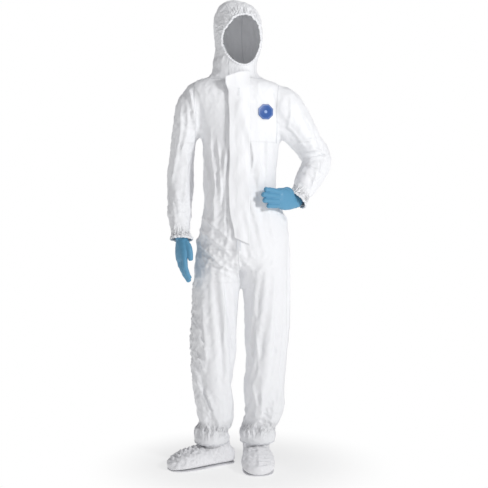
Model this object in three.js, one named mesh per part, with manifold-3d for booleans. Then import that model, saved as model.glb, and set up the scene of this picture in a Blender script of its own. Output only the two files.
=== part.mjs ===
// Chemical protective suit: a hooded coverall with its zip and storm flap, two gloves and two overshoes,
// in the stance of a standing wearer with the right arm hanging and the left hand on the hip.
// Millimetres, +Z up, the suit faces -Y, and "right" and "left" are the wearer's own.
// Heights in the tables start GROUND below the soles. The finished group is lowered so that its origin is the
// point midway between the shoulders, where the wearer carries the suit.
import * as THREE from "three";
import { mergeVertices } from "three/addons/utils/BufferGeometryUtils.js";
import Module from "manifold-3d";

const wasm = await Module();
wasm.setup();

// ---------- Driving dimensions ----------
const SHOULDER_HEIGHT = 1380; // height of both shoulder joints in the tables below
const GROUND = 60; // height of the ground under the soles in those tables
const WALL = 3; // thickness of every fabric shell
const GAP = 0.5; // running gap between neighbouring pieces
const SIDES = 18; // facets round the trunk and hood
const LIMB_SIDES = 14; // facets round an arm or a leg
const BODY_POWER = 2.3; // squareness of the body's sections, 2 being an ellipse
const SEAM_Y = 8; // plane of the side seams and shoulder seams

const v = (x, y, z) => new THREE.Vector3(x, y, z);
const X_AXIS = v(1, 0, 0);

// The joints of the wearer, which the garment bends about. Ball sizes are half axes in x, y and z.
const NECK = { at: v(-26, 14, 1488), ball: [86, 90, 90] };
const RIGHT_SHOULDER = { at: v(-178, 6, SHOULDER_HEIGHT), ball: [76, 76, 76] };
const LEFT_SHOULDER = { at: v(145, 6, SHOULDER_HEIGHT), ball: [80, 80, 80] };
const RIGHT_ELBOW = { at: v(-218, 40, 1120), ball: [65, 65, 65] };
const LEFT_ELBOW = { at: v(284, 125, 1206), ball: [72, 72, 72] };
const RIGHT_HIP = { at: v(-86, 8, 862), ball: [87, 101, 101] };
const LEFT_HIP = { at: v(100, 8, 862), ball: [87, 101, 101] };
const RIGHT_KNEE = { at: v(-98, -5, 480), ball: [92, 100, 100] };
const LEFT_KNEE = { at: v(90, -8, 480), ball: [87, 98, 98] };
const RIGHT_WRIST = v(-217, -28, 915);
const LEFT_WRIST = v(210, -18, 1062);
const RIGHT_ANKLE = v(-97, 18, 140);
const LEFT_ANKLE = v(58, 33, 140);

// The zip runs straight up the front, leaning back a little from crotch to chin.
const ZIP_X = -8;
const ZIP_BOTTOM = 868;
const ZIP_LENGTH = 604;
const FRONT_LOW = -126; // y of the suit's front at FRONT_HEIGHT
const FRONT_HEIGHT = 800;
const FRONT_SLOPE = 0.0377;
const frontAt = (z) => FRONT_LOW + (z - FRONT_HEIGHT) * FRONT_SLOPE;

// Trunk sections: height, centre x, half width, y of the back.
const TRUNK = [
  [850, 12, 178, 150],
  [905, 10, 174, 151],
  [976, 8, 163, 138],
  [1047, 3, 149, 118],
  [1120, -9, 142, 122],
  [1208, -8, 147, 132],
  [1262, -6, 146, 138],
  [1312, -6, 144, 140],
  [1352, -10, 156, 138],
  [1400, -16, 164, 130],
  [1440, -22, 168, 118],
  [1464, -26, 156, 110],
  [1477, -26, 124, 106],
  [1482, -26, 92, 106],
];
const COLLAR = { z: 1482, halfWidth: 88.5, halfDepth: 97 };
const WAIST_HEIGHT = 1047;

// Hood sections in the head's own frame, which is turned HEAD_TURN towards the wearer's left:
// height, centre x, centre y, half width, half depth.
const HEAD_TURN = THREE.MathUtils.degToRad(18);
const HOOD = [
  [1460, 0, 0, 80, 84],
  [1488, 0, 0, 84, 88],
  [1512, -2, 1, 82, 86],
  [1545, -2, 0, 83, 89],
  [1585, 7, -4, 85, 98],
  [1625, 10, -6, 90, 104],
  [1668, 10, -4, 91, 108],
  [1710, 10, 0, 86, 100],
  [1745, 8, 4, 72, 84],
  [1768, 4, 7, 46, 56],
  [1779, 0, 8, 18, 22],
];
const FACE = { x: 0, z: 1628, halfWidth: 75, halfHeight: 95, binding: 7 };
const CROWN_STRIP = 50; // half width of the hood's centre panel

// ---------- Shapes ----------
const materials = {
  fabric: new THREE.MeshStandardMaterial({ color: 0xf0f0f4, roughness: 0.75, metalness: 0 }),
  elastic: new THREE.MeshStandardMaterial({ color: 0xe4e4e8, roughness: 0.85, metalness: 0 }),
  nitrile: new THREE.MeshStandardMaterial({ color: 0x4f9cc8, roughness: 0.5, metalness: 0 }),
  zip: new THREE.MeshStandardMaterial({ color: 0xe9eaee, roughness: 0.4, metalness: 0 }),
  badge: new THREE.MeshStandardMaterial({ color: 0x2a5fb4, roughness: 0.5, metalness: 0 }),
  sole: new THREE.MeshStandardMaterial({ color: 0xd9dade, roughness: 0.8, metalness: 0 }),
};

// The largest piece of a cut body, without the crumbs a cut can leave.
const mainPiece = (body) => body.decompose().sort((a, b) => b.volume() - a.volume())[0];

// A geometry as a manifold solid, and back.
function solid(geometry) {
  const bare = geometry.clone();
  for (const name of Object.keys(bare.attributes)) if (name !== "position") bare.deleteAttribute(name);
  const merged = mergeVertices(bare, 1e-4);
  const vertProperties = new Float32Array(merged.attributes.position.array);
  return new wasm.Manifold(
    new wasm.Mesh({ numProp: 3, vertProperties, triVerts: new Uint32Array(merged.index.array) }),
  );
}

function geometryOf(body) {
  const { vertProperties, triVerts, numProp, numVert } = body.simplify(0.08).getMesh();
  const points = new Float32Array(numVert * 3);
  for (let i = 0; i < numVert; i++) points.set(vertProperties.subarray(i * numProp, i * numProp + 3), i * 3);
  return new THREE.BufferGeometry()
    .setAttribute("position", new THREE.BufferAttribute(points, 3))
    .setIndex(new THREE.BufferAttribute(new Uint32Array(triVerts), 1));
}

// One ring of points: a superellipse about centre, along the half axes a and b.
function ring(centre, a, b, power = 2, sides = SIDES) {
  const bulge = (c) => Math.sign(c) * Math.abs(c) ** (2 / power);
  return Array.from({ length: sides }, (_, i) => {
    const angle = ((i + 0.5) / sides) * 2 * Math.PI;
    return centre
      .clone()
      .addScaledVector(a, bulge(Math.cos(angle)))
      .addScaledVector(b, bulge(Math.sin(angle)));
  });
}

// A closed solid through rings that all have the same number of points, with flat ends.
function loft(rings) {
  const sides = rings[0].length;
  const middle = (points) => points.reduce((sum, p) => sum.add(p), v(0, 0, 0)).divideScalar(points.length);
  const points = [...rings.flat(), middle(rings[0]), middle(rings.at(-1))];
  const [low, high] = [points.length - 2, points.length - 1];
  const triangles = [];
  for (let i = 0; i < sides; i++) {
    const j = (i + 1) % sides;
    triangles.push(low, j, i);
    triangles.push(high, (rings.length - 1) * sides + i, (rings.length - 1) * sides + j);
    for (let k = 0; k + 1 < rings.length; k++) {
      const [a, b] = [k * sides, (k + 1) * sides];
      triangles.push(a + i, a + j, b + j, a + i, b + j, b + i);
    }
  }
  const skin = (order) => solid(new THREE.BufferGeometry().setFromPoints(points).setIndex(order));
  const body = skin(triangles);
  return body.volume() < 0 ? skin(triangles.reverse()) : body;
}

// A tube-like solid that follows a line of points: each station is a point with its two half axes.
function sweep(stations, sides = LIMB_SIDES, power = 2) {
  const rings = stations.map(({ at, wide, deep }, i) => {
    const before = stations[Math.max(i - 1, 0)].at;
    const after = stations[Math.min(i + 1, stations.length - 1)].at;
    const along = after.clone().sub(before).normalize();
    const side = X_AXIS.clone().addScaledVector(along, -X_AXIS.dot(along)).normalize();
    const front = new THREE.Vector3().crossVectors(along, side);
    return ring(at, side.multiplyScalar(wide), front.multiplyScalar(deep), power, sides);
  });
  return loft(rings);
}

// Stations along the straight line from one point to another: [share of the way, half width, half depth].
const stationsOn = (from, to, table, inset = 0) =>
  table.map(([t, wide, deep]) => ({ at: from.clone().lerp(to, t), wide: wide - inset, deep: deep - inset }));

// The ball-shaped space a joint turns in. Its facets all stand clear of the round ball inside it.
const FACETS = [16, 10];
const CLEAR = 1 / (Math.cos(Math.PI / FACETS[0]) * Math.cos(Math.PI / 2 / FACETS[1]));
function socket({ at, ball: [a, b, c] }) {
  const size = [a, b, c].map((half) => (half + GAP) * CLEAR);
  return solid(new THREE.SphereGeometry(1, ...FACETS).scale(...size).translate(at.x, at.y, at.z));
}

function box(low, high) {
  const size = high.clone().sub(low);
  const middle = low.clone().add(high).divideScalar(2);
  return solid(new THREE.BoxGeometry(size.x, size.y, size.z).translate(middle.x, middle.y, middle.z));
}

// A round bar from one point to another.
function bar(from, to, radius, sides = 20) {
  const along = to.clone().sub(from);
  const turn = new THREE.Quaternion().setFromUnitVectors(v(0, 1, 0), along.clone().normalize());
  const middle = from.clone().addScaledVector(along, 0.5);
  const geometry = new THREE.CylinderGeometry(radius, radius, along.length(), sides);
  return solid(geometry.applyQuaternion(turn).translate(middle.x, middle.y, middle.z));
}

// A flat outline in x and y, raised along z.
function slab(points, depth) {
  return new THREE.ExtrudeGeometry(new THREE.Shape(points), { depth, bevelEnabled: false });
}

const FAR = 3000;
const behind = (y) => box(v(-FAR, y, -FAR), v(FAR, FAR, FAR));
const inFront = (y) => box(v(-FAR, -FAR, -FAR), v(FAR, y, FAR));
const rightOf = (x) => box(v(-FAR, -FAR, -FAR), v(x, FAR, FAR));
const leftOf = (x) => box(v(x, -FAR, -FAR), v(FAR, FAR, FAR));
const slice = (low, high) => box(v(-FAR, -FAR, low), v(FAR, FAR, high));

const suit = new THREE.Group();

function add(name, body, material, group = suit) {
  const geometry = body.isBufferGeometry ? body : geometryOf(body);
  geometry.computeVertexNormals();
  const mesh = new THREE.Mesh(geometry, materials[material]);
  mesh.name = name;
  group.add(mesh);
  return mesh;
}

// ---------- Trunk ----------
function trunkLoft(inset) {
  return loft(
    TRUNK.map(([z, x, halfWidth, back]) => {
      const depth = back - frontAt(z);
      const drop = z > RIGHT_SHOULDER.at.z ? inset : 0;
      const centre = v(x, (back + frontAt(z)) / 2, z - drop);
      return ring(centre, v(halfWidth - inset, 0, 0), v(0, depth / 2 - inset, 0), BODY_POWER);
    }),
  );
}

// The right sleeve hangs close to the side, so its armhole is cut round for the arm to swing forwards.
const ARMHOLE = { radius: 90, reach: 50 };
const ARM_SWING = [0, 10, 22, 34];
// The front hem is cut away for the thighs to swing forwards by up to this many degrees.
const THIGH_SWING = [12, 24, 36];

function swing(body, centre, degrees) {
  const there = new THREE.Matrix4().makeTranslation(centre.x, centre.y, centre.z);
  const turn = new THREE.Matrix4().makeRotationX(-THREE.MathUtils.degToRad(degrees));
  return body.transform(there.clone().multiply(turn).multiply(there.clone().invert()).elements);
}

function buildTrunk() {
  const neckHole = loft(
    [COLLAR.z - 60, COLLAR.z + 20].map((z) =>
      ring(v(NECK.at.x, NECK.at.y - 8, z), v(COLLAR.halfWidth, 0, 0), v(0, COLLAR.halfDepth, 0)),
    ),
  );
  const lowestRing = box(v(-FAR, -FAR, 0), v(FAR, FAR, TRUNK[0][0] + 4));
  const inside = trunkLoft(WALL).add(neckHole);
  const cavityMouth = trunkLoft(WALL).intersect(lowestRing);
  let shell = trunkLoft(0).subtract(inside).subtract(cavityMouth);
  for (const joint of [NECK, RIGHT_SHOULDER, LEFT_SHOULDER, RIGHT_HIP, LEFT_HIP]) {
    shell = shell.subtract(socket(joint));
  }
  for (const { shoulder, elbow, upper } of Object.values(SLEEVES)) {
    const sleeve = limbSweep({ from: shoulder, to: elbow.at, table: upper }, -2.5);
    for (const degrees of ARM_SWING) shell = shell.subtract(swing(sleeve, shoulder.at, degrees));
  }
  const { at } = RIGHT_SHOULDER;
  shell = shell.subtract(bar(v(-FAR, at.y, at.z), v(at.x + ARMHOLE.reach, at.y, at.z), ARMHOLE.radius));
  for (const { hip, knee, upper } of Object.values(LEGS)) {
    const thigh = limbSweep({ from: hip, to: knee.at, table: upper, start: -0.7 }, -1.2);
    for (const degrees of THIGH_SWING) shell = shell.subtract(swing(thigh, hip.at, degrees));
  }
  const slot = box(v(ZIP_X - 8.2, -FAR, 0), v(ZIP_X + 8.2, 0, FAR));
  const half = GAP / 2;
  const front = shell.intersect(inFront(SEAM_Y - half)).subtract(slot);
  const back = shell.intersect(behind(SEAM_Y + half));
  const panels = {
    front_panel_right: front.intersect(rightOf(ZIP_X)),
    front_panel_left: front.intersect(leftOf(ZIP_X)),
    back_panel_right: back.intersect(rightOf(NECK.at.x - half)),
    back_panel_left: back.intersect(leftOf(NECK.at.x + half)),
  };
  for (const [name, panel] of Object.entries(panels)) add(name, mainPiece(panel), "fabric");
  const lining = trunkLoft(WALL + GAP).subtract(trunkLoft(WALL + GAP + 2));
  const waist = lining.intersect(slice(WAIST_HEIGHT - 9, WAIST_HEIGHT + 9)).intersect(behind(SEAM_Y));
  add("waist_elastic", waist, "elastic");
}

// The gusset is a U-shaped strip between the legs, from the front panels down and up to the back panels.
function buildGusset() {
  const [wide, low, high] = [8, 770, 846];
  const x = (RIGHT_HIP.at.x + LEFT_HIP.at.x) / 2;
  const outline = (inset) => {
    const shape = [];
    const [front, back] = [frontAt(high) + 14 + inset, 134 - inset];
    const steps = 14;
    for (let i = 0; i <= steps; i++) {
      const angle = Math.PI + (i / steps) * Math.PI;
      const y = (front + back) / 2 + ((back - front) / 2) * Math.cos(angle);
      shape.push(new THREE.Vector2(y, high + (high - low - inset) * Math.sin(angle)));
    }
    return shape;
  };
  const strip = slab([...outline(0), ...outline(WALL).reverse()], wide);
  strip.applyMatrix4(new THREE.Matrix4().makeBasis(v(0, 1, 0), v(0, 0, 1), v(1, 0, 0)));
  add("crotch_gusset", solid(strip.translate(x - wide / 2, 0, 0)), "fabric");
}

// An eight-sided cloth badge on the left of the chest, with no mark on it.
function buildBadge() {
  const badge = new THREE.CylinderGeometry(27.5, 27.5, 1, 8, 1, false, Math.PI / 8).scale(1, 1, 1.08);
  const mesh = add("chest_badge", badge, "badge");
  mesh.position.set(90, -84.9, 1364);
  mesh.rotation.z = 0.52;
}

// ---------- Zip and storm flap, in the zip's own frame: x across, -y outwards, z up the zip ----------
const zipGroup = new THREE.Group();
zipGroup.position.set(ZIP_X, frontAt(ZIP_BOTTOM), ZIP_BOTTOM);
zipGroup.rotation.x = -Math.atan(FRONT_SLOPE);
suit.add(zipGroup);

const TOOTH_PITCH = 15;
const SLIDER = { z: ZIP_LENGTH - 24, length: 13, halfWidth: 5, low: -4, high: -0.6 };
const PULL = { y: -6.1, z: SLIDER.z - 1, radius: 0.8, length: 25, halfWidth: 3.6 };

function block(low, high) {
  const size = high.map((h, i) => h - low[i]);
  return new THREE.BoxGeometry(...size).translate(...high.map((h, i) => (h + low[i]) / 2));
}

// One side's row of teeth, as a comb that reaches towards the other side's row.
function teeth(side, start) {
  const comb = [];
  const count = Math.floor((ZIP_LENGTH - 20) / TOOTH_PITCH);
  for (let i = 0; i < count; i++) {
    const z = start + i * TOOTH_PITCH;
    comb.push([1.6, z], [-1, z + 0.7], [-1, z + 5.6], [1.6, z + 6.3]);
  }
  const points = [[3, start], ...comb, [3, start + count * TOOTH_PITCH]];
  const row = slab(points.map(([x, z]) => new THREE.Vector2(x, z)), 2);
  row.applyMatrix4(new THREE.Matrix4().makeBasis(v(1, 0, 0), v(0, 0, 1), v(0, -1, 0)));
  row.translate(0, 2.2, 0);
  return side < 0 ? solid(row).mirror([1, 0, 0]) : solid(row);
}

function buildZip() {
  for (const [name, side, start] of [["right", -1, 6], ["left", 1, 6 + TOOTH_PITCH / 2]]) {
    const [near, far] = [3.4 * side, 7.6 * side];
    const tape = block([Math.min(near, far), 0.8, 0], [Math.max(near, far), 1.9, ZIP_LENGTH]);
    add("zip_tape_" + name, tape, "zip", zipGroup);
    add("zip_teeth_" + name, teeth(side, start), "zip", zipGroup);
  }
  add("zip_bottom_stop", block([-7.4, -1.2, 0.5], [7.4, 0.4, 5]), "zip", zipGroup);
  add("zip_top_stop", block([-6, -0.3, ZIP_LENGTH - 8], [6, 0.4, ZIP_LENGTH - 4]), "zip", zipGroup);
}

function buildSlider() {
  const { z, length, halfWidth, low, high } = SLIDER;
  const plate = solid(block([-halfWidth, low, z - length], [halfWidth, high, z]));
  let body = plate;
  for (const side of [-1, 1]) {
    const [a, b] = [2.6 * side, 4.6 * side];
    const lowest = [Math.min(a, b), PULL.y - 1.9, PULL.z - 2.2];
    const ear = block(lowest, [Math.max(a, b), low + 0.1, PULL.z + 0.9]);
    body = body.add(solid(ear));
  }
  const pinHole = bar(v(-9, PULL.y, PULL.z - 0.6), v(9, PULL.y, PULL.z - 0.6), PULL.radius + 0.3, 10);
  add("zip_slider", body.subtract(pinHole), "zip", zipGroup);
  const pin = bar(v(-4.6, PULL.y, PULL.z - 0.6), v(4.6, PULL.y, PULL.z - 0.6), PULL.radius, 10);
  add("zip_pull_pin", pin, "zip", zipGroup);
}

// The pull tab hangs from the pin between the slider's ears.
function buildPullTab() {
  const { y, z, radius, length, halfWidth } = PULL;
  const eye = bar(v(-2.2, y, z - 0.6), v(2.2, y, z - 0.6), radius + 0.95, 10);
  const neck = solid(block([-2.2, y - 0.7, z - 7], [2.2, y + 0.7, z - 0.6]));
  const grip = solid(block([-halfWidth, y - 0.7, z - length], [halfWidth, y + 0.7, z - 6]));
  const hole = bar(v(-3, y, z - 0.6), v(3, y, z - 0.6), radius + 0.35, 10);
  add("zip_pull_tab", eye.add(neck).add(grip).subtract(hole), "zip", zipGroup);
}

// The flap arches over the zip from its sewn edge on the left to its free edge on the right.
const FLAP = { sewn: 42, free: -26, low: -6, high: ZIP_LENGTH + 48, rise: -13, thick: 2 };
function buildFlap() {
  const { sewn, free, low, high, rise, thick } = FLAP;
  const curve = (off) =>
    new THREE.CatmullRomCurve3([
      v(sewn, -1.6 - off, 0),
      v(sewn - 10, rise + 4 - off, 0),
      v(sewn - 24, rise - off, 0),
      v(0, rise - 0.6 - off, 0),
      v(free + 12, rise + 1 - off, 0),
      v(free, rise + 5 - off, 0),
    ]).getPoints(14);
  const outline = [...curve(0), ...curve(thick).reverse()].map((p) => new THREE.Vector2(p.x, p.y));
  add("storm_flap", solid(slab(outline, high - low).translate(0, 0, low)), "fabric", zipGroup);
  const strip = block([-12, rise + 1.3, 20], [-3, rise + 1.9, high - 12]);
  add("flap_adhesive_strip", strip, "elastic", zipGroup);
}

// ---------- Hood ----------
const head = new THREE.Group();
head.position.set(NECK.at.x, NECK.at.y, 0);
head.rotation.z = HEAD_TURN;
suit.add(head);

function hoodLoft(inset, extra = 0) {
  return loft(
    HOOD.map(([z, x, y, halfWidth, halfDepth], i) => {
      const drop = i > 7 ? inset : 0;
      const base = i === 0 ? -extra : 0;
      return ring(v(x, y, z - drop + base), v(halfWidth - inset, 0, 0), v(0, halfDepth - inset, 0));
    }),
  );
}

function buildHood() {
  const outside = hoodLoft(0);
  const inside = hoodLoft(WALL, 60);
  const faceHole = (inset) =>
    loft(
      [-FAR, 0].map((y) =>
        ring(v(FACE.x, y, FACE.z), v(FACE.halfWidth - inset, 0, 0), v(0, 0, FACE.halfHeight - inset), 2.2, 32),
      ),
    );
  const shell = outside.subtract(inside).subtract(faceHole(0));
  const strip = (grow) => {
    const half = CROWN_STRIP + grow;
    const backStrip = box(v(FACE.x - half, -grow, 0), v(FACE.x + half, FAR, FAR));
    const low = FACE.z + FACE.halfHeight * 0.5 - grow;
    return backStrip.add(box(v(FACE.x - half, -FAR, low), v(FACE.x + half, 0, FAR)));
  };
  const sides = shell.subtract(strip(GAP));
  add("hood_centre_panel", shell.intersect(strip(0)), "fabric", head);
  add("hood_side_right", sides.intersect(rightOf(FACE.x - GAP / 2)), "fabric", head);
  add("hood_side_left", sides.intersect(leftOf(FACE.x + GAP / 2)), "fabric", head);
  const rim = hoodLoft(-1).subtract(hoodLoft(WALL + 1)).intersect(inFront(0));
  const binding = rim.intersect(faceHole(GAP)).subtract(faceHole(FACE.binding));
  add("hood_face_elastic", binding, "elastic", head);
}

// ---------- Sleeves ----------
const toward = (from, to) => to.clone().sub(from).normalize();

// A limb starts as a ball at its joint and goes on as a tube. The ball's stations come first, from
// `start` of the way back through the ball, then the table's. An inset sweep is the hollow inside: it
// runs on past every open end by `longer`, and stops a wall short of a closed one.
const BALL_STATIONS = [-0.9, -0.62, -0.25, 0.12, 0.45, 0.7];

function limbSweep({ from, to, table, start = BALL_STATIONS[0], next }, inset = 0, longer = 0) {
  const [a, b] = from.ball;
  const along = toward(from.at, to);
  const wider = (t) => b * Math.sqrt(1 - t * t) > table[0][2];
  const stations = [start, ...BALL_STATIONS.filter((t) => t > start && (t < 0 || wider(t)))].map((t) => {
    const k = Math.sqrt(1 - t * t);
    return { at: from.at.clone().addScaledVector(along, t * b), wide: a * k - inset, deep: b * k - inset };
  });
  const open = start > BALL_STATIONS[0];
  stations[0].at.addScaledVector(along, open ? -longer : inset);
  const tube = stationsOn(from.at, to, table, inset);
  tube.at(-1).at.addScaledVector(along, longer);
  return sweep([...stations, ...tube]);
}

// The shell of a limb: open at its far end, and open towards its parent up its own axis or sideways.
function limb(shape) {
  const { from, mouth, mouthRadius, next } = shape;
  let shell = limbSweep(shape).subtract(limbSweep(shape, WALL, next ? 60 : 10));
  if (mouth) {
    const end = from.at.clone().addScaledVector(mouth.clone().normalize(), 300);
    shell = shell.subtract(bar(from.at, end, mouthRadius, 16));
  }
  return next ? shell.subtract(socket(next)) : shell;
}


// An elastic ring just inside the end of a limb.
function endElastic(from, to, start, end, wide, deep, inset, thick) {
  const table = [[start, wide, deep], [end, wide, deep]];
  const outer = sweep(stationsOn(from, to, table, inset));
  const longer = [[start - 0.1, wide, deep], [end + 0.1, wide, deep]];
  return outer.subtract(sweep(stationsOn(from, to, longer, inset + thick)));
}

// Tables along each limb: share of the way to the next joint, half width, half depth.
const SLEEVES = {
  right: {
    shoulder: RIGHT_SHOULDER,
    elbow: RIGHT_ELBOW,
    wrist: RIGHT_WRIST,
    inward: v(1, 0, 0.1),
    mouth: 52,
    upper: [[0.37, 50, 57], [0.75, 56, 56], [1, 55, 52]],
    lower: [[0.42, 57, 53], [0.68, 53, 50], [0.86, 46, 46], [1, 40, 41]],
  },
  left: {
    shoulder: LEFT_SHOULDER,
    elbow: LEFT_ELBOW,
    wrist: LEFT_WRIST,
    inward: v(-1, 0, 0.1),
    mouth: 58,
    upper: [[0.42, 61, 58], [0.75, 51, 51], [1, 44, 46]],
    lower: [[0.36, 49, 50], [0.68, 50, 50], [0.86, 45, 46], [1, 40, 41]],
  },
};

function buildSleeve(side, { shoulder, elbow, wrist, inward, mouth, upper, lower }) {
  const arm = { from: shoulder, to: elbow.at, table: upper, mouth: inward, mouthRadius: mouth, next: elbow };
  add(side + "_upper_sleeve", limb(arm), "fabric");
  const back = toward(elbow.at, shoulder.at);
  const forearm = { from: elbow, to: wrist, table: lower, mouth: back, mouthRadius: 40 };
  add(side + "_lower_sleeve", limb(forearm), "fabric");
  add(side + "_cuff_elastic", band(forearm, 0.93, 0.99, 2.2), "elastic");
}

// An elastic band of the given thickness, just inside the far end of a limb.
function band(shape, start, end, thick) {
  const { from, to } = shape;
  const hollow = limbSweep(shape, WALL + GAP, 10);
  const middle = limbSweep(shape, WALL + GAP + thick, 20);
  const at = (t) => from.at.clone().lerp(to, t);
  return hollow.subtract(middle).intersect(bar(at(start), at(end), 200, 8));
}

// ---------- Legs ----------
const LEGS = {
  right: {
    hip: RIGHT_HIP,
    knee: RIGHT_KNEE,
    ankle: RIGHT_ANKLE,
    upper: [[0.3, 87, 94], [0.55, 88, 93], [0.8, 87, 89], [1, 87, 86]],
    lower: [[0.3, 77, 83], [0.62, 74, 82], [0.79, 62, 73], [0.9, 75, 80], [1, 66, 72]],
  },
  left: {
    hip: LEFT_HIP,
    knee: LEFT_KNEE,
    ankle: LEFT_ANKLE,
    upper: [[0.3, 84, 94], [0.55, 82, 92], [0.8, 79, 88], [1, 79, 85]],
    lower: [[0.3, 76, 83], [0.55, 78, 84], [0.79, 72, 78], [0.9, 75, 80], [1, 66, 72]],
  },
};

function splitAtSeam(name, shell) {
  add(name + "_front", shell.intersect(inFront(SEAM_Y - GAP / 2)), "fabric");
  add(name + "_back", shell.intersect(behind(SEAM_Y + GAP / 2)), "fabric");
}

function buildLeg(side, { hip, knee, ankle, upper, lower }) {
  splitAtSeam(side + "_upper_leg", limb({ from: hip, to: knee.at, table: upper, start: -0.7, next: knee }));
  const shin = { from: knee, to: ankle, table: lower, start: -0.6 };
  splitAtSeam(side + "_lower_leg", limb(shin));
  add(side + "_ankle_elastic", band(shin, 0.955, 0.99, 2.5), "elastic");
}

// ---------- Overshoes, each in its own frame: +x to the toe, origin under the ankle on the floor ----------
const SHOES = {
  right: { at: RIGHT_ANKLE, toe: v(-86, -51, 0) },
  left: { at: LEFT_ANKLE, toe: v(4, -100, 0) },
};
const SOLE = { thick: 3, heel: -71, toe: 192, halfHeel: 42, halfBall: 56 };

// The foot's sections: distance from the ankle, half width, height.
const FOOT = [
  [-70, 20, 50],
  [-63, 36, 64],
  [-38, 46, 72],
  [8, 50, 76],
  [56, 55, 70],
  [102, 60, 65],
  [144, 58, 59],
  [175, 46, 49],
  [189, 26, 39],
];

function footRing(x, halfWidth, height, inset) {
  const floor = SOLE.thick + GAP;
  const points = [];
  for (let i = 0; i < LIMB_SIDES; i++) {
    const angle = ((i + 0.5) / LIMB_SIDES) * 2 * Math.PI;
    const up = Math.sin(angle) > 0 ? 0.62 * height : 0.38 * height - floor;
    const y = (halfWidth - inset) * Math.sign(Math.cos(angle)) * Math.abs(Math.cos(angle)) ** 0.75;
    const z = 0.38 * height + (up - inset) * Math.sign(Math.sin(angle)) * Math.abs(Math.sin(angle)) ** 0.8;
    points.push(v(x, y, z));
  }
  return points;
}

function footLoft(inset) {
  const last = FOOT.length - 1;
  return loft(
    FOOT.map(([x, halfWidth, height], i) => {
      const shift = i === 0 ? inset : i === last ? -inset : 0;
      return footRing(x + shift, halfWidth, height, inset);
    }),
  );
}

function ankleTube(inset, top) {
  const stations = [[36, 45, 52], [78, 49, 55], [106, 47, 50], [top, 45, 48]];
  return loft(
    stations.map(([z, wide, long]) =>
      ring(v(2, 0, z), v(long - inset, 0, 0), v(0, wide - inset, 0), 2, LIMB_SIDES),
    ),
  );
}

function soleOutline() {
  const { heel, toe, halfHeel, halfBall } = SOLE;
  return new THREE.CatmullRomCurve3(
    [
      v(heel, 0, 0),
      v(heel + 18, halfHeel * 0.82, 0),
      v(-20, halfHeel, 0),
      v(60, halfHeel + 3, 0),
      v(130, halfBall, 0),
      v(toe - 28, halfBall * 0.72, 0),
      v(toe, 0, 0),
      v(toe - 28, -halfBall * 0.72, 0),
      v(130, -halfBall, 0),
      v(60, -halfHeel - 3, 0),
      v(-20, -halfHeel, 0),
      v(heel + 18, -halfHeel * 0.82, 0),
    ],
    true,
  )
    .getPoints(36)
    .slice(0, -1)
    .map((p) => new THREE.Vector2(p.x, p.y));
}

function buildShoe(side, { at, toe }) {
  const shoe = new THREE.Group();
  shoe.position.set(at.x, at.y, GROUND);
  shoe.rotation.z = Math.atan2(toe.y, toe.x);
  suit.add(shoe);
  const top = 130;
  const upper = footLoft(0).add(ankleTube(0, top)).subtract(footLoft(WALL)).subtract(ankleTube(WALL, top + 10));
  add(side + "_overshoe", upper, "fabric", shoe);
  add(side + "_overshoe_sole", slab(soleOutline(), SOLE.thick), "sole", shoe);
  const elastic = ankleTube(WALL + GAP, top).subtract(ankleTube(WALL + GAP + 2, top + 10));
  add(side + "_overshoe_elastic", elastic.intersect(slice(112, top - 2)), "elastic", shoe);
  const ridge = [[80, 70.5], [102, 67.6], [128, 63], [156, 57]].map(([x, z]) => ({ x, z }));
  const seam = [...ridge.map(({ x, z }) => v(x, z, 0)), ...ridge.reverse().map(({ x, z }) => v(x, z + 5, 0))];
  const strip = slab(seam.map((p) => new THREE.Vector2(p.x, p.y)), 3);
  strip.applyMatrix4(new THREE.Matrix4().makeBasis(v(1, 0, 0), v(0, 0, 1), v(0, -1, 0))).translate(0, 1.5, 0);
  add(side + "_overshoe_instep_seam", solid(strip).subtract(footLoft(-GAP)), "fabric", shoe);
}

// ---------- Gloves, each in its own frame: +z to the fingertips, +x to the thumb ----------
// The fingers curl to +y on the left hand and to -y on the right, which is the way out of each palm.
const SKIN = 1.8; // thickness of the glove before the hand is sized
const HAND_SIZE = 0.9; // share of the sizes below
// Each finger: root across the palm and along it, spread to the thumb side, bends at its three knuckles,
// and the lengths of its three bones.
const FINGERS = {
  index: { x: 27, z: 86, bones: [40, 25, 21], radius: 9.6 },
  middle: { x: 9, z: 90, bones: [44, 28, 21], radius: 9.8 },
  ring: { x: -9, z: 87, bones: [40, 26, 21], radius: 9.4 },
  little: { x: -26, z: 80, bones: [31, 20, 19], radius: 8.6 },
};
const CUFF_LENGTH = 46; // how far the glove runs up inside the sleeve

function fingerStations({ x, z, bones, radius }, { bend, spread }, curl, inset) {
  const stations = [];
  const at = v(x, 0, z - 22);
  let angle = 0;
  stations.push({ at: at.clone(), wide: radius, deep: radius + 1 });
  at.z = z;
  bones.forEach((bone, i) => {
    angle += bend[i];
    const along = v(Math.sin(spread), curl * Math.sin(angle), Math.cos(angle)).normalize();
    at.addScaledVector(along, bone);
    const taper = 1 - 0.05 * (i + 1);
    stations.push({ at: at.clone(), wide: radius * taper, deep: radius * taper });
    if (i === bones.length - 1) {
      stations.push({ at: at.clone().addScaledVector(along, 6), wide: radius * 0.5, deep: radius * 0.5 });
    }
  });
  return stations.map(({ at: p, wide, deep }) => ({ at: p, wide: wide - inset, deep: deep - inset }));
}

// Sections down the glove: distance from the wrist, half width, half depth. Those before the wrist
// follow the forearm, and the others follow the hand.
const PALM = [
  [-CUFF_LENGTH, 30, 28],
  [-22, 30, 27],
  [-4, 29, 24],
  [16, 33, 20],
  [40, 40, 19],
  [66, 42, 17],
  [88, 38, 14],
  [98, 31, 10],
];

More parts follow.
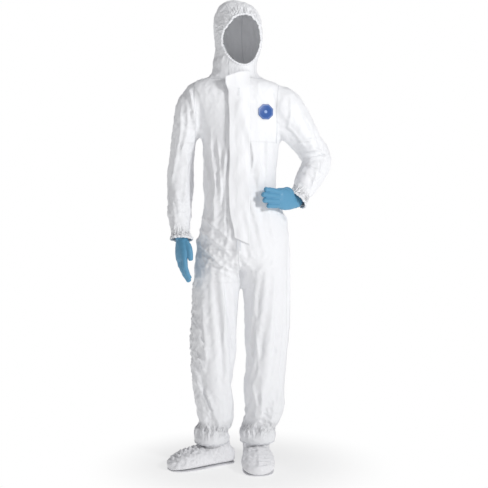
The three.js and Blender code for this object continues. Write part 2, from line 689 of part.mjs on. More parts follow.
function palmStations(forearm, curl, inset, longer) {
  return PALM.map(([distance, wide, deep], i) => {
    const s = i === 0 ? distance - longer : distance;
    const at = s < 0 ? forearm.clone().multiplyScalar(s) : v(0, curl, s);
    return { at, wide: wide - inset, deep: deep - inset };
  });
}

function gloveBody(forearm, pose, inset) {
  const { curl } = pose;
  const [x1, y1, x2, y2] = pose.thumb;
  const thumb = [
    { at: v(20, 5 * curl, 22), wide: 15, deep: 14 },
    { at: v(38, 10 * curl, 42), wide: 13, deep: 12 },
    { at: v(x1, y1 * curl, 66), wide: 10.5, deep: 10.5 },
    { at: v(x2, y2 * curl, 92), wide: 9.5, deep: 9 },
    { at: v(x2, (y2 + 1) * curl, 99), wide: 5, deep: 5 },
  ].map(({ at, wide, deep }) => ({ at, wide: wide - inset, deep: deep - inset }));
  let body = sweep(palmStations(forearm, curl, inset, inset ? 8 : 0), 12, 2.3).add(sweep(thumb, 6));
  for (const [name, finger] of Object.entries(FINGERS)) {
    body = body.add(sweep(fingerStations(finger, pose[name], curl, inset), 6));
  }
  return body;
}

const GLOVES = {
  right: {
    elbow: RIGHT_ELBOW,
    wrist: RIGHT_WRIST,
    reach: 4,
    fingers: v(0.0, -0.26, -1),
    thumb: v(0.5, -0.86, 0),
    pose: {
      curl: -1,
      index: { bend: [0.1, 0.24, 0.18], spread: -0.02 },
      middle: { bend: [0.15, 0.28, 0.2], spread: -0.015 },
      ring: { bend: [0.2, 0.3, 0.2], spread: 0.005 },
      little: { bend: [0.25, 0.32, 0.22], spread: 0.03 },
      thumb: [46, 14, 44, 18],
    },
  },
  left: {
    elbow: LEFT_ELBOW,
    wrist: LEFT_WRIST,
    reach: 24,
    fingers: v(-0.77, -0.66, 0.1),
    thumb: v(0.1, 0.05, 0.98),
    pose: {
      curl: 1,
      index: { bend: [-0.04, 0.04, 0.04], spread: 0.12 },
      middle: { bend: [-0.04, 0.04, 0.04], spread: 0.02 },
      ring: { bend: [-0.04, 0.04, 0.04], spread: -0.08 },
      little: { bend: [-0.04, 0.04, 0.04], spread: -0.16 },
      thumb: [34, 12, 32, 13],
    },
  },
};

function buildGlove(side, { elbow, wrist, reach, fingers, thumb, pose }) {
  const hand = new THREE.Group();
  const z = fingers.clone().normalize();
  const x = thumb.clone().addScaledVector(z, -thumb.dot(z)).normalize();
  const y = new THREE.Vector3().crossVectors(z, x);
  hand.quaternion.setFromRotationMatrix(new THREE.Matrix4().makeBasis(x, y, z));
  hand.position.copy(wrist).addScaledVector(toward(elbow.at, wrist), reach);
  suit.add(hand);
  const forearm = toward(elbow.at, wrist).applyQuaternion(hand.quaternion.clone().invert());
  const sized = (body) => body.scale([HAND_SIZE, HAND_SIZE, HAND_SIZE]);
  const shell = gloveBody(forearm, pose, 0).subtract(gloveBody(forearm, pose, SKIN));
  add(side + "_glove", sized(shell), "nitrile", hand);
  // the rolled bead at the glove's upper edge
  const rim = (inset, longer) => {
    const [, wide, deep] = PALM[0];
    const lip = [CUFF_LENGTH + GAP - longer, CUFF_LENGTH + 3.2 + longer].map((distance) => ({
      at: forearm.clone().multiplyScalar(-distance),
      wide: wide - inset,
      deep: deep - inset,
    }));
    return sweep(lip, 12, 2.3);
  };
  add(side + "_glove_bead", sized(rim(-0.8, 0).subtract(rim(2, 4))), "nitrile", hand);
}

// ---------- The suit ----------
buildTrunk();
buildGusset();
buildBadge();
buildZip();
buildSlider();
buildPullTab();
buildFlap();
buildHood();
for (const side of ["right", "left"]) {
  buildSleeve(side, SLEEVES[side]);
  buildLeg(side, LEGS[side]);
  buildShoe(side, SHOES[side]);
  buildGlove(side, GLOVES[side]);
}

const part = new THREE.Group();
part.add(suit);
suit.position.z = -SHOULDER_HEIGHT;
export default part;
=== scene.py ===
"""Looks of the chemical protective suit: a hooded nonwoven coverall, gloves and overshoes.

The coverall is one cloth surface, draped over a stand-in body by simulation and then cut into
pieces: the torso, the hood and two pieces for each arm and leg. Lengths are in metres in the row frame,
unless a name or comment says millimetres. Tables of stations are in millimetres; their heights start GROUND
below the soles.
"""

import math

import bmesh
import bpy
import numpy as np
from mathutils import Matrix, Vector, noise
from mathutils.bvhtree import BVHTree


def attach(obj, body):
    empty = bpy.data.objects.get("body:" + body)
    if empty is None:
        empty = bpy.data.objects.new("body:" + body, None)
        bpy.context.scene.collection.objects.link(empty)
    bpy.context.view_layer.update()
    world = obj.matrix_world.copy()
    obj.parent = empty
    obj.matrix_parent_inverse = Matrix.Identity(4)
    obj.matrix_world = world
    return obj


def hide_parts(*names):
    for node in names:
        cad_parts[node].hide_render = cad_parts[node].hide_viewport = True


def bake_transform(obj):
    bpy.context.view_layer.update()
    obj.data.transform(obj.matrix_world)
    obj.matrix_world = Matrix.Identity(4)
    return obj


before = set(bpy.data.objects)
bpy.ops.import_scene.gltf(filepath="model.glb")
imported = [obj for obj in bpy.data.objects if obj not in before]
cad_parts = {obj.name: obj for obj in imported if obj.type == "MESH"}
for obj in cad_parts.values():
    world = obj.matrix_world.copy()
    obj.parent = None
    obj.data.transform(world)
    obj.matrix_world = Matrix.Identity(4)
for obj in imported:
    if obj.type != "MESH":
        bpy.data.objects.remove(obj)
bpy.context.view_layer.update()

SHOULDER_HEIGHT = 1380.0  # mm, height of the row frame's origin in the tables
GROUND = 60.0  # mm, height of the floor in the tables
FLOOR = (GROUND - SHOULDER_HEIGHT) / 1000
ZIP_X = -8.0
SEAM_Y = 8.0  # plane of the side seams and shoulder seams
HEAD_TURN = math.radians(18)
NECK = (-26.0, 14.0)
FACE = {"x": 8.0, "z": 1624.0, "half_width": 70.0, "half_height": 90.0}

scene = bpy.context.scene
scene.view_settings.view_transform = "Standard"


def row(points):
    """Table millimetres to metres in the row frame."""
    p = np.array(points, float) / 1000
    p[..., 2] -= SHOULDER_HEIGHT / 1000
    return p


def table_mm(points):
    """Metres in the row frame to table millimetres."""
    p = np.array(points, float) * 1000
    p[..., 2] += SHOULDER_HEIGHT
    return p


def front_at(z):
    """y of the flat front of the trunk at height z, in mm."""
    return -126 + (z - 800) * 0.0377


# ---------- meshes
def new_object(name, vertices, faces, smooth=True):
    mesh = bpy.data.meshes.new(name)
    mesh.from_pydata([tuple(v) for v in vertices], [], [tuple(int(i) for i in f) for f in faces])
    mesh.validate()
    mesh.update()
    if smooth:
        mesh.shade_smooth()
    obj = bpy.data.objects.new(name, mesh)
    scene.collection.objects.link(obj)
    return obj


def coordinates(obj):
    co = np.zeros(len(obj.data.vertices) * 3)
    obj.data.vertices.foreach_get("co", co)
    return co.reshape(-1, 3)


def set_coordinates(obj, co):
    obj.data.vertices.foreach_set("co", np.asarray(co, float).ravel())
    obj.data.update()


def normals(obj):
    n = np.zeros(len(obj.data.vertices) * 3)
    obj.data.vertex_normals.foreach_get("vector", n)
    return n.reshape(-1, 3)


def set_number(obj, name, values):
    """Stores one number per vertex, for the shaders."""
    attribute = obj.data.attributes.get(name) or obj.data.attributes.new(name, "FLOAT", "POINT")
    attribute.data.foreach_set("value", np.asarray(values, np.float32))


def read_number(mesh, name):
    values = np.zeros(len(mesh.vertices), np.float32)
    mesh.attributes[name].data.foreach_get("value", values)
    return values


def base_mm(obj):
    """Where each vertex was before draping, in table millimetres."""
    b = np.zeros(len(obj.data.vertices) * 3)
    obj.data.attributes["base"].data.foreach_get("vector", b)
    return b.reshape(-1, 3)


def select_only(*objs):
    for o in bpy.context.selected_objects:
        o.select_set(False)
    for o in objs:
        o.select_set(True)
    bpy.context.view_layer.objects.active = objs[0]


def apply_modifiers(obj):
    select_only(obj)
    for modifier in list(obj.modifiers):
        bpy.ops.object.modifier_apply(modifier=modifier.name)


def join(objs, name):
    select_only(*objs)
    bpy.ops.object.join()
    objs[0].name = name
    return objs[0]


def melt(objs, name, voxel, relax=4):
    """Several closed meshes grown together into one smooth surface."""
    obj = join(objs, name)
    remesh = obj.modifiers.new("remesh", "REMESH")
    remesh.mode = "VOXEL"
    remesh.voxel_size = voxel
    smooth = obj.modifiers.new("relax", "SMOOTH")
    smooth.factor, smooth.iterations = 0.5, relax
    apply_modifiers(obj)
    return obj


def subdivide(obj, levels=1):
    finer = obj.modifiers.new("finer", "SUBSURF")
    finer.levels = finer.render_levels = levels
    apply_modifiers(obj)


def ease(x):
    x = np.clip(x, 0, 1)
    return x * x * (3 - 2 * x)


def waves(points, size, seed, octaves=3):
    """Smooth noise at points in mm, with features of the given size in mm."""
    shift = Vector((seed * 17.3, seed * -9.1, seed * 5.7))
    return np.array([noise.fractal(Vector(p) / size + shift, 0.6, 2.1, octaves) for p in points])


def superellipse(power, sides):
    angle = (np.arange(sides) + 0.5) / sides * 2 * np.pi
    return [np.sign(c) * np.abs(c) ** (2 / power) for c in (np.cos(angle), np.sin(angle))]


def smooth_table(table, steps):
    """A table of stations, filled in with a smooth curve through its rows."""
    table = np.array(table, float)
    n = len(table)
    padded = np.vstack([2 * table[0] - table[1], table, 2 * table[-1] - table[-2]])
    t = np.linspace(0, n - 1, steps)
    i = np.minimum(t.astype(int), n - 2)
    f = (t - i)[:, None]
    a, b, c, d = (padded[i + k] for k in range(4))
    return 0.5 * (2 * b + (c - a) * f + (2 * a - 5 * b + 4 * c - d) * f**2 + (3 * b - a - 3 * c + d) * f**3)


def flat_rings(table, steps, power=2.0, sides=48, turn=0.0, pivot=(0, 0), inset=0.0):
    """Level rings: rows of height, centre x, centre y, half width, half depth."""
    cx, cy = superellipse(power, sides)
    rings = []
    for z, x, y, wide, deep in smooth_table(table, steps):
        px = x + (wide - inset) * cx
        py = y + (deep - inset) * cy
        rx = pivot[0] + px * math.cos(turn) - py * math.sin(turn)
        ry = pivot[1] + px * math.sin(turn) + py * math.cos(turn)
        rings.append(np.stack([rx, ry, np.full(sides, z)], 1))
    return np.array(rings)


def path_rings(table, steps, power=2.0, sides=40, inset=0.0):
    """Rings square to a path: rows of x, y, z, half width, half depth."""
    cx, cy = superellipse(power, sides)
    rows = smooth_table(table, steps)
    along = np.gradient(rows[:, :3], axis=0)
    along /= np.linalg.norm(along, axis=1)[:, None]
    side = np.array([1.0, 0, 0]) - along * along[:, :1]
    side /= np.linalg.norm(side, axis=1)[:, None]
    front = np.cross(along, side)
    rings = []
    for (x, y, z, wide, deep), s, f in zip(rows, side, front):
        ring = np.array([x, y, z]) + np.outer((wide - inset) * cx, s)
        rings.append(ring + np.outer((deep - inset) * cy, f))
    return np.array(rings)


def loft_faces(count, sides, capped=True, closed=True, endless=False):
    """Faces between rings of vertices. Endless rings join the last to the first."""
    faces = []
    for k in range(count if endless else count - 1):
        n = (k + 1) % count
        for i in range(sides if closed else sides - 1):
            j = (i + 1) % sides
            faces.append((k * sides + i, k * sides + j, n * sides + j, n * sides + i))
    if capped:
        faces.append(tuple(range(sides))[::-1])
        faces.append(tuple((count - 1) * sides + i for i in range(sides)))
    return faces


def closed_loft(name, rings):
    """A closed mesh through rings of table points, with both ends capped."""
    count, sides = rings.shape[:2]
    return new_object(name, row(rings.reshape(-1, 3)), loft_faces(count, sides))


# ---------- the wearer's space, in mm
# Trunk: height, centre x, centre y, half width, half depth.
TRUNK = [
    (812, 8, 10, 70, 84), (828, 9, 12, 128, 114), (850, 10, 13, 166, 133), (905, 10, 14, 173, 136),
    (976, 8, 9, 161, 128), (1047, 2, 1, 145, 117), (1120, -8, 4, 140, 118),
    (1208, -6, 11, 141, 121), (1262, -4, 15, 141, 123), (1312, -6, 17, 145, 123),
    (1352, -10, 16, 154, 121), (1400, -16, 13, 168, 117), (1436, -24, 9, 180, 110),
    (1460, -27, 6, 178, 102), (1476, -28, 7, 150, 92), (1488, -27, 10, 108, 84),
    (1500, -26, 12, 84, 80),
]
# Hood, in the head's own frame: height, centre x, centre y, half width, half depth.
HOOD = [
    (1462, 0, 0, 82, 86), (1488, 0, 0, 84, 88), (1512, 0, 1, 81, 87), (1545, 3, 0, 80, 91),
    (1585, 12, -4, 82, 101), (1625, 15, -6, 86, 107), (1668, 14, -4, 88, 110),
    (1710, 12, 0, 85, 103), (1742, 9, 4, 69, 86), (1758, 5, 7, 51, 63), (1767, 3, 8, 30, 36),
]
# Arms and legs: x, y, z, half width, half depth along each path.
RIGHT_ARM = [
    (-128, 8, 1412, 46, 58), (-165, 7, 1400, 70, 74), (-191, 9, 1352, 62, 68),
    (-211, 16, 1300, 49, 60), (-220, 25, 1245, 48, 57), (-227, 34, 1170, 51, 56),
    (-229, 37, 1120, 54, 54), (-230, 22, 1060, 50, 52), (-229, 2, 1000, 46, 48),
    (-225, -14, 955, 41, 43), (-221, -24, 925, 38, 39), (-219, -30, 905, 42, 42),
    (-219, -34, 890, 42, 42),
]
LEFT_ARM = [
    (106, 8, 1412, 44, 56), (142, 7, 1400, 76, 76), (184, 30, 1352, 74, 70),
    (222, 62, 1300, 67, 63), (258, 92, 1248, 61, 60), (283, 112, 1212, 60, 62),
    (285, 100, 1184, 59, 61), (272, 70, 1156, 55, 56), (254, 40, 1124, 52, 52),
    (236, 10, 1094, 46, 46), (222, -10, 1074, 40, 40), (212, -24, 1060, 38, 38),
    (202, -38, 1046, 40, 40), (194, -50, 1034, 40, 40),
]
RIGHT_LEG = [
    (-78, 8, 885, 84, 94), (-88, 8, 800, 86, 98), (-96, 2, 700, 86, 94), (-99, -1, 620, 88, 93),
    (-102, -4, 550, 89, 92), (-100, -5, 480, 88, 90), (-97, -2, 415, 76, 85),
    (-101, 4, 370, 75, 84), (-94, 10, 300, 73, 84), (-90, 16, 240, 67, 79), (-95, 18, 213, 56, 72),
    (-108, 20, 176, 69, 80), (-109, 22, 146, 65, 78), (-109, 22, 132, 62, 74),
]
LEFT_LEG = [
    (98, 8, 885, 82, 94), (97, 8, 800, 85, 98), (95, 3, 700, 86, 94), (95, 0, 600, 86, 92),
    (89, -6, 525, 81, 90), (88, -8, 480, 78, 88), (83, -3, 415, 75, 85), (77, 4, 370, 75, 84),
    (80, 12, 326, 76, 84), (82, 18, 290, 75, 84), (74, 26, 240, 67, 80), (65, 30, 213, 63, 75),
    (63, 33, 171, 70, 80), (60, 33, 146, 64, 74), (60, 33, 132, 60, 70),
]
# Each limb, and how much thinner the wearer's is
LIMBS = ((RIGHT_ARM, 15), (LEFT_ARM, 15), (RIGHT_LEG, 20), (LEFT_LEG, 20))
TRUNK_POWER = 2.35


def trunk_rings(inset=0.0, steps=64):
    return flat_rings(TRUNK, steps, TRUNK_POWER, 64, inset=inset)


def hood_rings(inset=0.0):
    return flat_rings(HOOD, 44, 2.0, 56, HEAD_TURN, NECK, inset)


# ---------- the coverall's starting surface
VOXEL = 0.0105
# Clean sleeve ends: a point in mm, the direction that is cut away and the side of the body it is on.
CUFFS = [
    ((-219, -29, 907), (0.0, -0.29, -0.96), -1), ((205, -34, 1050), (-0.64, -0.40, -0.65), 1),
]
CUFF_REACH = 70
HEM = 146.0  # height of the leg hems
WAIST = 1047.0  # height of the waist elastic


class FaceFrame:
    """The oval of the face opening: a point's place in it, as shares of its half axes, and its depth."""

    def __init__(self):
        side = (math.cos(HEAD_TURN), math.sin(HEAD_TURN))
        self.centre = Vector(row((NECK[0] + FACE["x"] * side[0], NECK[1] + FACE["x"] * side[1], FACE["z"])))
        self.side = Vector((side[0], side[1], 0))
        self.out = Vector((math.sin(HEAD_TURN), -math.cos(HEAD_TURN), 0))
        self.half = FACE["half_width"] / 1000, FACE["half_height"] / 1000

    def __call__(self, point):
        d = Vector(point) - self.centre
        return d.dot(self.side) / self.half[0], d.z / self.half[1], d.dot(self.out)

    def arrays(self, co):
        d = co - np.array(self.centre)
        return d @ np.array(self.side) / self.half[0], d[:, 2] / self.half[1], d @ np.array(self.out)

    def move(self, u, v):
        r = math.hypot(u, v)
        du, dv = u / r - u, v / r - v
        return self.side * (du * self.half[0]) + Vector((0, 0, dv * self.half[1]))


FACE_FRAME = FaceFrame()


def build_base():
    """The coverall before draping: one closed shape, opened at the cuffs, the hems and the face."""
    parts = [closed_loft("trunk", trunk_rings()), closed_loft("hood", hood_rings())]
    parts += [closed_loft("limb", path_rings(table, 52)) for table, _ in LIMBS]
    # the bend of the left arm is filled out, so that its rings don't fold through each other
    radius, bend = 0.052, row((287, 102, 1204))
    bpy.ops.mesh.primitive_uv_sphere_add(segments=32, ring_count=20, radius=radius, location=bend)
    parts.append(bpy.context.object)
    base = melt(parts, "coverall", VOXEL, 6)
    bm = bmesh.new()
    bm.from_mesh(base.data)

    def cut(point, direction, near):
        """Cuts away what is past a plane, but only in the faces that near() picks."""
        p, d = Vector(row(point)), Vector(direction).normalized()
        close = [f for f in bm.faces if near(f.calc_center_median())]
        geometry = close + list({e for f in close for e in f.edges} | {v for f in close for v in f.verts})
        bmesh.ops.bisect_plane(bm, geom=geometry, plane_co=p, plane_no=d)
        middles = ((f, f.calc_center_median()) for f in bm.faces)
        past = [f for f, m in middles if near(m) and (m - p).dot(d) > 1e-5]
        bmesh.ops.delete(bm, geom=past, context="FACES")

    for point, direction, side in CUFFS:
        p = Vector(row(point))
        clear = 0.168 if side < 0 else 0.162
        cut(point, direction, lambda m: (m - p).length < CUFF_REACH / 1000 and m.x * side > clear)
    low = row((0, 0, HEM + 60))[2]
    cut((0, 0, HEM), (0, 0, -1), lambda m: m.z < low)
    inside = []
    for f in bm.faces:
        u, v, depth = FACE_FRAME(f.calc_center_median())
        if depth > 0 and u * u + v * v < 1:
            inside.append(f)
    bmesh.ops.delete(bm, geom=inside, context="FACES")
    bmesh.ops.delete(bm, geom=[v for v in bm.verts if not v.link_faces], context="VERTS")
    for v in bm.verts:
        if v.is_boundary and v.co.z > row((0, 0, 1500))[2]:
            u, w, depth = FACE_FRAME(v.co)
            if depth > 0:
                v.co += FACE_FRAME.move(u, w)
    bmesh.ops.remove_doubles(bm, verts=bm.verts, dist=0.35 * VOXEL)
    bmesh.ops.dissolve_degenerate(bm, edges=bm.edges, dist=0.1 * VOXEL)
    bm.to_mesh(base.data)
    bm.free()
    base.data.update()
    attribute = base.data.attributes.new("base", "FLOAT_VECTOR", "POINT")
    attribute.data.foreach_set("vector", table_mm(coordinates(base)).ravel().astype(np.float32))
    return base


def build_body():
    """The stand-in wearer that the cloth hangs on, a little smaller than the garment."""
    parts = [closed_loft("body", trunk_rings(17)), closed_loft("head", hood_rings(9))]
    parts += [closed_loft("limb", path_rings(table, 30, inset=thinner)) for table, thinner in LIMBS]
    return join(parts, "wearer")


# The cloth is cut larger than the body, wider round it than along it.
CUT_WIDER = np.array([1.085, 1.085, 1.035])
MOVE_LIMIT = 0.045


def drape(cloth, body, frames=36):
    """Cuts the cloth larger, lets it settle on the body and keeps the result."""
    co = coordinates(cloth)
    mm = table_mm(co)
    hold = np.zeros(len(co))
    # the zip holds the front flat
    on_front = (mm[:, 1] < front_at(mm[:, 2]) + 25) & (mm[:, 2] > 860) & (mm[:, 2] < 1500)
    hold[on_front & (np.abs(mm[:, 0] - ZIP_X) < 16)] = 0.9
    # elastic edges
    for point, direction, side in CUFFS:
        d = (mm - np.array(point)) @ (np.array(direction) / np.linalg.norm(direction))
        near = (np.linalg.norm(mm - np.array(point), axis=1) < 90) & (mm[:, 0] * side > 165)
        hold[near & (d > -14)] = 1
    hold[mm[:, 2] < HEM + 14] = 1
    u, v, depth = FACE_FRAME.arrays(co)
    hold[(mm[:, 2] > 1500) & (depth > 0) & (u * u + v * v < 1.25)] = 1
    group = cloth.vertex_groups.new(name="hold")
    for weight in np.unique(hold[hold > 0]):
        group.add([int(i) for i in np.where(hold == weight)[0]], float(weight), "REPLACE")
    cloth.shape_key_add(name="start")
    rest = cloth.shape_key_add(name="cut")
    rest.data.foreach_set("co", (co * CUT_WIDER).ravel())
    rest.value = 0
    body.modifiers.new("collision", "COLLISION")
    body.collision.thickness_outer = 0.004
    body.collision.cloth_friction = 12
    settings = cloth.modifiers.new("cloth", "CLOTH").settings
    settings.quality = 6
    settings.mass = 0.25
    settings.tension_stiffness = settings.compression_stiffness = 40
    settings.shear_stiffness = 18
    settings.bending_stiffness = 1.2
    settings.tension_damping = settings.compression_damping = settings.shear_damping = 12
    settings.bending_damping = 1.0
    settings.air_damping = 3
    settings.vertex_group_mass = "hold"
    settings.pin_stiffness = 1
    settings.rest_shape_key = rest
    cloth.modifiers["cloth"].collision_settings.distance_min = 0.004
    cloth.modifiers["cloth"].collision_settings.collision_quality = 2
    for f in range(1, frames + 1):
        scene.frame_set(f)
    evaluated = cloth.evaluated_get(bpy.context.evaluated_depsgraph_get())
    draped = np.zeros(len(co) * 3)
    evaluated.data.vertices.foreach_get("co", draped)
    draped = draped.reshape(-1, 3)
    cloth.shape_key_clear()
    cloth.modifiers.clear()
    cloth.vertex_groups.clear()
    scene.frame_set(1)
    moved = draped - co
    far = np.linalg.norm(moved, axis=1)
    moved *= np.minimum(1, MOVE_LIMIT / np.maximum(far, 1e-9))[:, None]
    set_coordinates(cloth, co + moved)


# ---------- materials
def connect(tree, node, inputs):
    """Gives each named input of a node its value, or the output of another node."""
    for name, value in inputs.items():
        if isinstance(value, bpy.types.NodeSocket):
            tree.links.new(value, node.inputs[name])
        else:
            node.inputs[name].default_value = value


def add(tree, kind, inputs, **settings):
    node = tree.nodes.new("ShaderNode" + kind)
    for name, value in settings.items():
        setattr(node, name, value)
    connect(tree, node, inputs)
    return node


def nodes_of(name, colour, roughness, specular=0.4):
    material = bpy.data.materials.new(name)
    material.use_nodes = True
    tree = material.node_tree
    shader = tree.nodes["Principled BSDF"]
    inputs = {"Base Color": (*colour, 1), "Roughness": roughness, "Specular IOR Level": specular}
    connect(tree, shader, inputs)
    return material, tree, shader


def math_node(tree, operation, *values, clamp=False):
    return add(tree, "Math", dict(enumerate(values)), operation=operation, use_clamp=clamp).outputs[0]


def number(tree, name):
    return add(tree, "Attribute", {}, attribute_name=name).outputs["Fac"]


def noise_height(tree, scale, detail=4, roughness=0.55, squash=(1, 1, 1), kind="FBM"):
    place = add(tree, "TexCoord", {}).outputs["Object"]
    mapped = add(tree, "Mapping", {"Scale": squash, "Vector": place}).outputs[0]
    inputs = {"Scale": scale, "Detail": detail, "Roughness": roughness, "Vector": mapped}
    return add(tree, "TexNoise", inputs, noise_type=kind).outputs["Fac"]


def bump(tree, height, distance, strength=1.0, below=None):
    inputs = {"Distance": distance, "Strength": strength, "Height": height}
    if below is not None:
        inputs["Normal"] = below
    return add(tree, "Bump", inputs).outputs["Normal"]


SEAMS = ("armhole", "crown", "neck", "side", "rise")
SEAM_HALF = 4.0  # mm
FABRIC_WHITE = (0.86, 0.866, 0.885, 1)
SEAM_GREY = (0.70, 0.71, 0.735, 1)


def coverall_material():
    """White film-laminated nonwoven, with its seams, fine creases and gathers."""
    material, tree, shader = nodes_of("nonwoven", FABRIC_WHITE[:3], 0.58, 0.32)
    shader.inputs["Sheen Weight"].default_value = 0.12
    ridge = None
    for name in SEAMS:
        away = math_node(tree, "ABSOLUTE", number(tree, name))
        near = math_node(tree, "SUBTRACT", 1.0, math_node(tree, "DIVIDE", away, SEAM_HALF), clamp=True)
        ridge = near if ridge is None else math_node(tree, "MAXIMUM", ridge, near)
    line = math_node(tree, "GREATER_THAN", ridge, 0.74)
    creases = noise_height(tree, 26, 6, 0.62, (1, 1, 0.55))
    grain = noise_height(tree, 420, 2)
    sharp = noise_height(tree, 22, 3, 0.5, (1, 1, 0.7), "RIDGED_MULTIFRACTAL")
    how_much = math_node(tree, "MULTIPLY_ADD", number(tree, "rumple"), 0.8, 0.12)
    crisp = math_node(tree, "MULTIPLY", sharp, how_much)
    pleats = math_node(tree, "MULTIPLY", number(tree, "pleat"), number(tree, "pleat_depth"))
    normal = bump(tree, creases, 0.006, 0.55)
    normal = bump(tree, grain, 0.0006, 0.5, normal)
    normal = bump(tree, crisp, 0.009, 0.9, normal)
    normal = bump(tree, pleats, 0.0022, 1.0, normal)
    normal = bump(tree, ridge, 0.0016, 0.8, normal)
    mix = add(tree, "Mix", {"Factor": line, "A": FABRIC_WHITE, "B": SEAM_GREY}, data_type="RGBA")
    connect(tree, shader, {"Normal": normal, "Base Color": mix.outputs["Result"]})
    return material


def plain_material(name, colour, roughness, scale=120, depth=0.0008, specular=0.4, squash=(1, 1, 1)):
    material, tree, shader = nodes_of(name, colour, roughness, specular)
    height = noise_height(tree, scale, 4, 0.55, squash)
    connect(tree, shader, {"Normal": bump(tree, height, depth, 0.8)})
    return material


def nitrile_material():
    material, tree, shader = nodes_of("nitrile", (0.105, 0.31, 0.49), 0.42, 0.45)
    wrinkles = bump(tree, noise_height(tree, 70), 0.003, 0.5)
    grain = bump(tree, noise_height(tree, 900, 2), 0.0004, 0.5, wrinkles)
    connect(tree, shader, {"Normal": grain})
    return material


FABRIC = coverall_material()
FLAP_FABRIC = plain_material("flap_nonwoven", (0.87, 0.875, 0.893), 0.58, 30, 0.004, 0.32, (1, 1, 0.4))
SHOE_FABRIC = plain_material("shoe_nonwoven", (0.88, 0.88, 0.90), 0.6, 40, 0.007, 0.32)
ELASTIC = plain_material("elastic", (0.80, 0.81, 0.83), 0.75, 300, 0.0008, 0.3, (1, 1, 3))
SOLE = plain_material("sole", (0.82, 0.82, 0.84), 0.8, 200, 0.001, 0.3)
ZIP = plain_material("zip", (0.82, 0.83, 0.85), 0.4, 500, 0.0003, 0.45)
TAPE = plain_material("strip", (0.78, 0.80, 0.84), 0.35, 80, 0.0006, 0.5)
BADGE = plain_material("badge", (0.028, 0.095, 0.33), 0.35, 400, 0.0002, 0.45)
BADGE_MARK = plain_material("badge_mark", (0.30, 0.42, 0.70), 0.4, 400, 0.0002, 0.4)
NITRILE = nitrile_material()


def finish(obj, material, nodes=(), body=None, bend=None):
    obj.data.materials.clear()
    obj.data.materials.append(material)
    if body:
        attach(obj, body)
    if bend:
        a, b, start, end = bend
        tuple(row(start))
        tuple(row(end))
        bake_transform(obj)
    if nodes:
        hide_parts(*nodes)


# Where the fabric is rumpled: the middle, the reach in x, y and z and the amount. Table millimetres.
RUMPLES = [
    ((-165, 0, 620), (55, 90, 145), 0.9), ((-185, 0, 440), (50, 90, 90), 0.9),
    ((-120, -80, 860), (90, 70, 60), 0.6), ((0, -90, 830), (80, 70, 45), 0.5),
    ((-235, 20, 1010), (50, 80, 80), 0.8), ((-215, 10, 1340), (60, 80, 120), 0.4),
    ((270, 90, 1200), (70, 90, 80), 0.35), ((-90, -40, 1600), (60, 80, 160), 0.5),
    ((-110, -70, 270), (90, 90, 90), 0.5), ((110, -70, 260), (80, 90, 60), 0.5),
    ((80, -60, 560), (70, 90, 90), 0.3), ((-60, -90, 980), (70, 60, 90), 0.35),
]
LEFT_ELBOW_INSIDE = (262, 62, 1208)
LEFT_ELBOW_FRONT = (292, 52, 1218)
FOLD_HEIGHT = 1.8
# Long folds on the front: both ends in x and z, the fold's width and height. Table millimetres.
FOLDS = [
    (-118, 1330, -98, 960, 7, 6.5), (-92, 1300, -76, 1000, 6, 5.0), (-66, 1280, -62, 900, 6, 4.5),
    (-136, 1240, -128, 1010, 6, 5.0), (-50, 1180, -48, 930, 5, 3.5), (96, 1290, 88, 1110, 5, 7.0),
    (38, 1270, 40, 1150, 4, 4.0), (64, 1240, 60, 1080, 5, 2.4), (-160, 1000, -20, 880, 7, 5.0),
    (-170, 950, -30, 840, 7, 5.5), (-176, 900, -60, 800, 8, 5.5), (-160, 850, -20, 790, 6, 5.0),
    (-130, 800, -10, 770, 5, 4.0), (170, 860, 40, 800, 9, 2.0), (120, 860, 20, 780, 9, 1.6),
    (-196, 1420, -224, 1200, 7, 5.0), (-222, 1400, -246, 1160, 7, 5.5),
    (-240, 1330, -262, 1090, 6, 4.5), (-200, 1240, -215, 1010, 6, 4.5),
    (-250, 1100, -222, 980, 7, 5.5), (-262, 1070, -235, 960, 6, 4.5),
    (-190, 1470, -176, 1300, 8, 8.0), (180, 1450, 172, 1300, 6, 3.5),
    (210, 1400, 290, 1260, 8, 4.0), (168, 1330, 240, 1240, 7, 4.0), (198, 1262, 300, 1292, 6, 4.5),
    (224, 1228, 322, 1240, 6, 5.0), (232, 1204, 334, 1196, 6, 5.5), (228, 1182, 306, 1128, 6, 5.5),
    (220, 1152, 288, 1098, 6, 4.5), (206, 1120, 262, 1072, 5, 3.5), (-150, 700, -130, 420, 8, 4.5),
    (-168, 560, -120, 470, 6, 6.0), (-176, 500, -130, 420, 6, 6.0), (-165, 400, -110, 250, 7, 6.5),
    (-135, 380, -90, 240, 7, 5.5), (-70, 760, -60, 500, 8, 3.0), (40, 700, 50, 400, 9, 4.0),
    (30, 400, 50, 250, 8, 5.0), (60, 380, 70, 240, 7, 4.0), (120, 330, 100, 230, 7, 4.0),
    (40, 265, 130, 225, 6, 5.0),
]

# ---------- making
coverall = build_base()
wearer = build_body()
drape(coverall, wearer)
bpy.data.objects.remove(wearer)


def iron(obj, centre, reach, passes):
    """Evens out cloth that is pinched inside a bend."""
    far = np.linalg.norm(base_mm(obj) - np.array(centre, float), axis=1)
    group = obj.vertex_groups.new(name="iron")
    for i in np.where(far < reach)[0]:
        group.add([int(i)], float(ease(2 * (1 - far[i] / reach))), "REPLACE")
    relax = obj.modifiers.new("iron", "SMOOTH")
    relax.factor, relax.iterations, relax.vertex_group = 0.5, passes, "iron"
    apply_modifiers(obj)
    obj.vertex_groups.clear()


iron(coverall, LEFT_ELBOW_INSIDE, 62, 14)
iron(coverall, LEFT_ELBOW_FRONT, 46, 10)
subdivide(coverall)

base = base_mm(coverall)
X, Y, Z = base.T


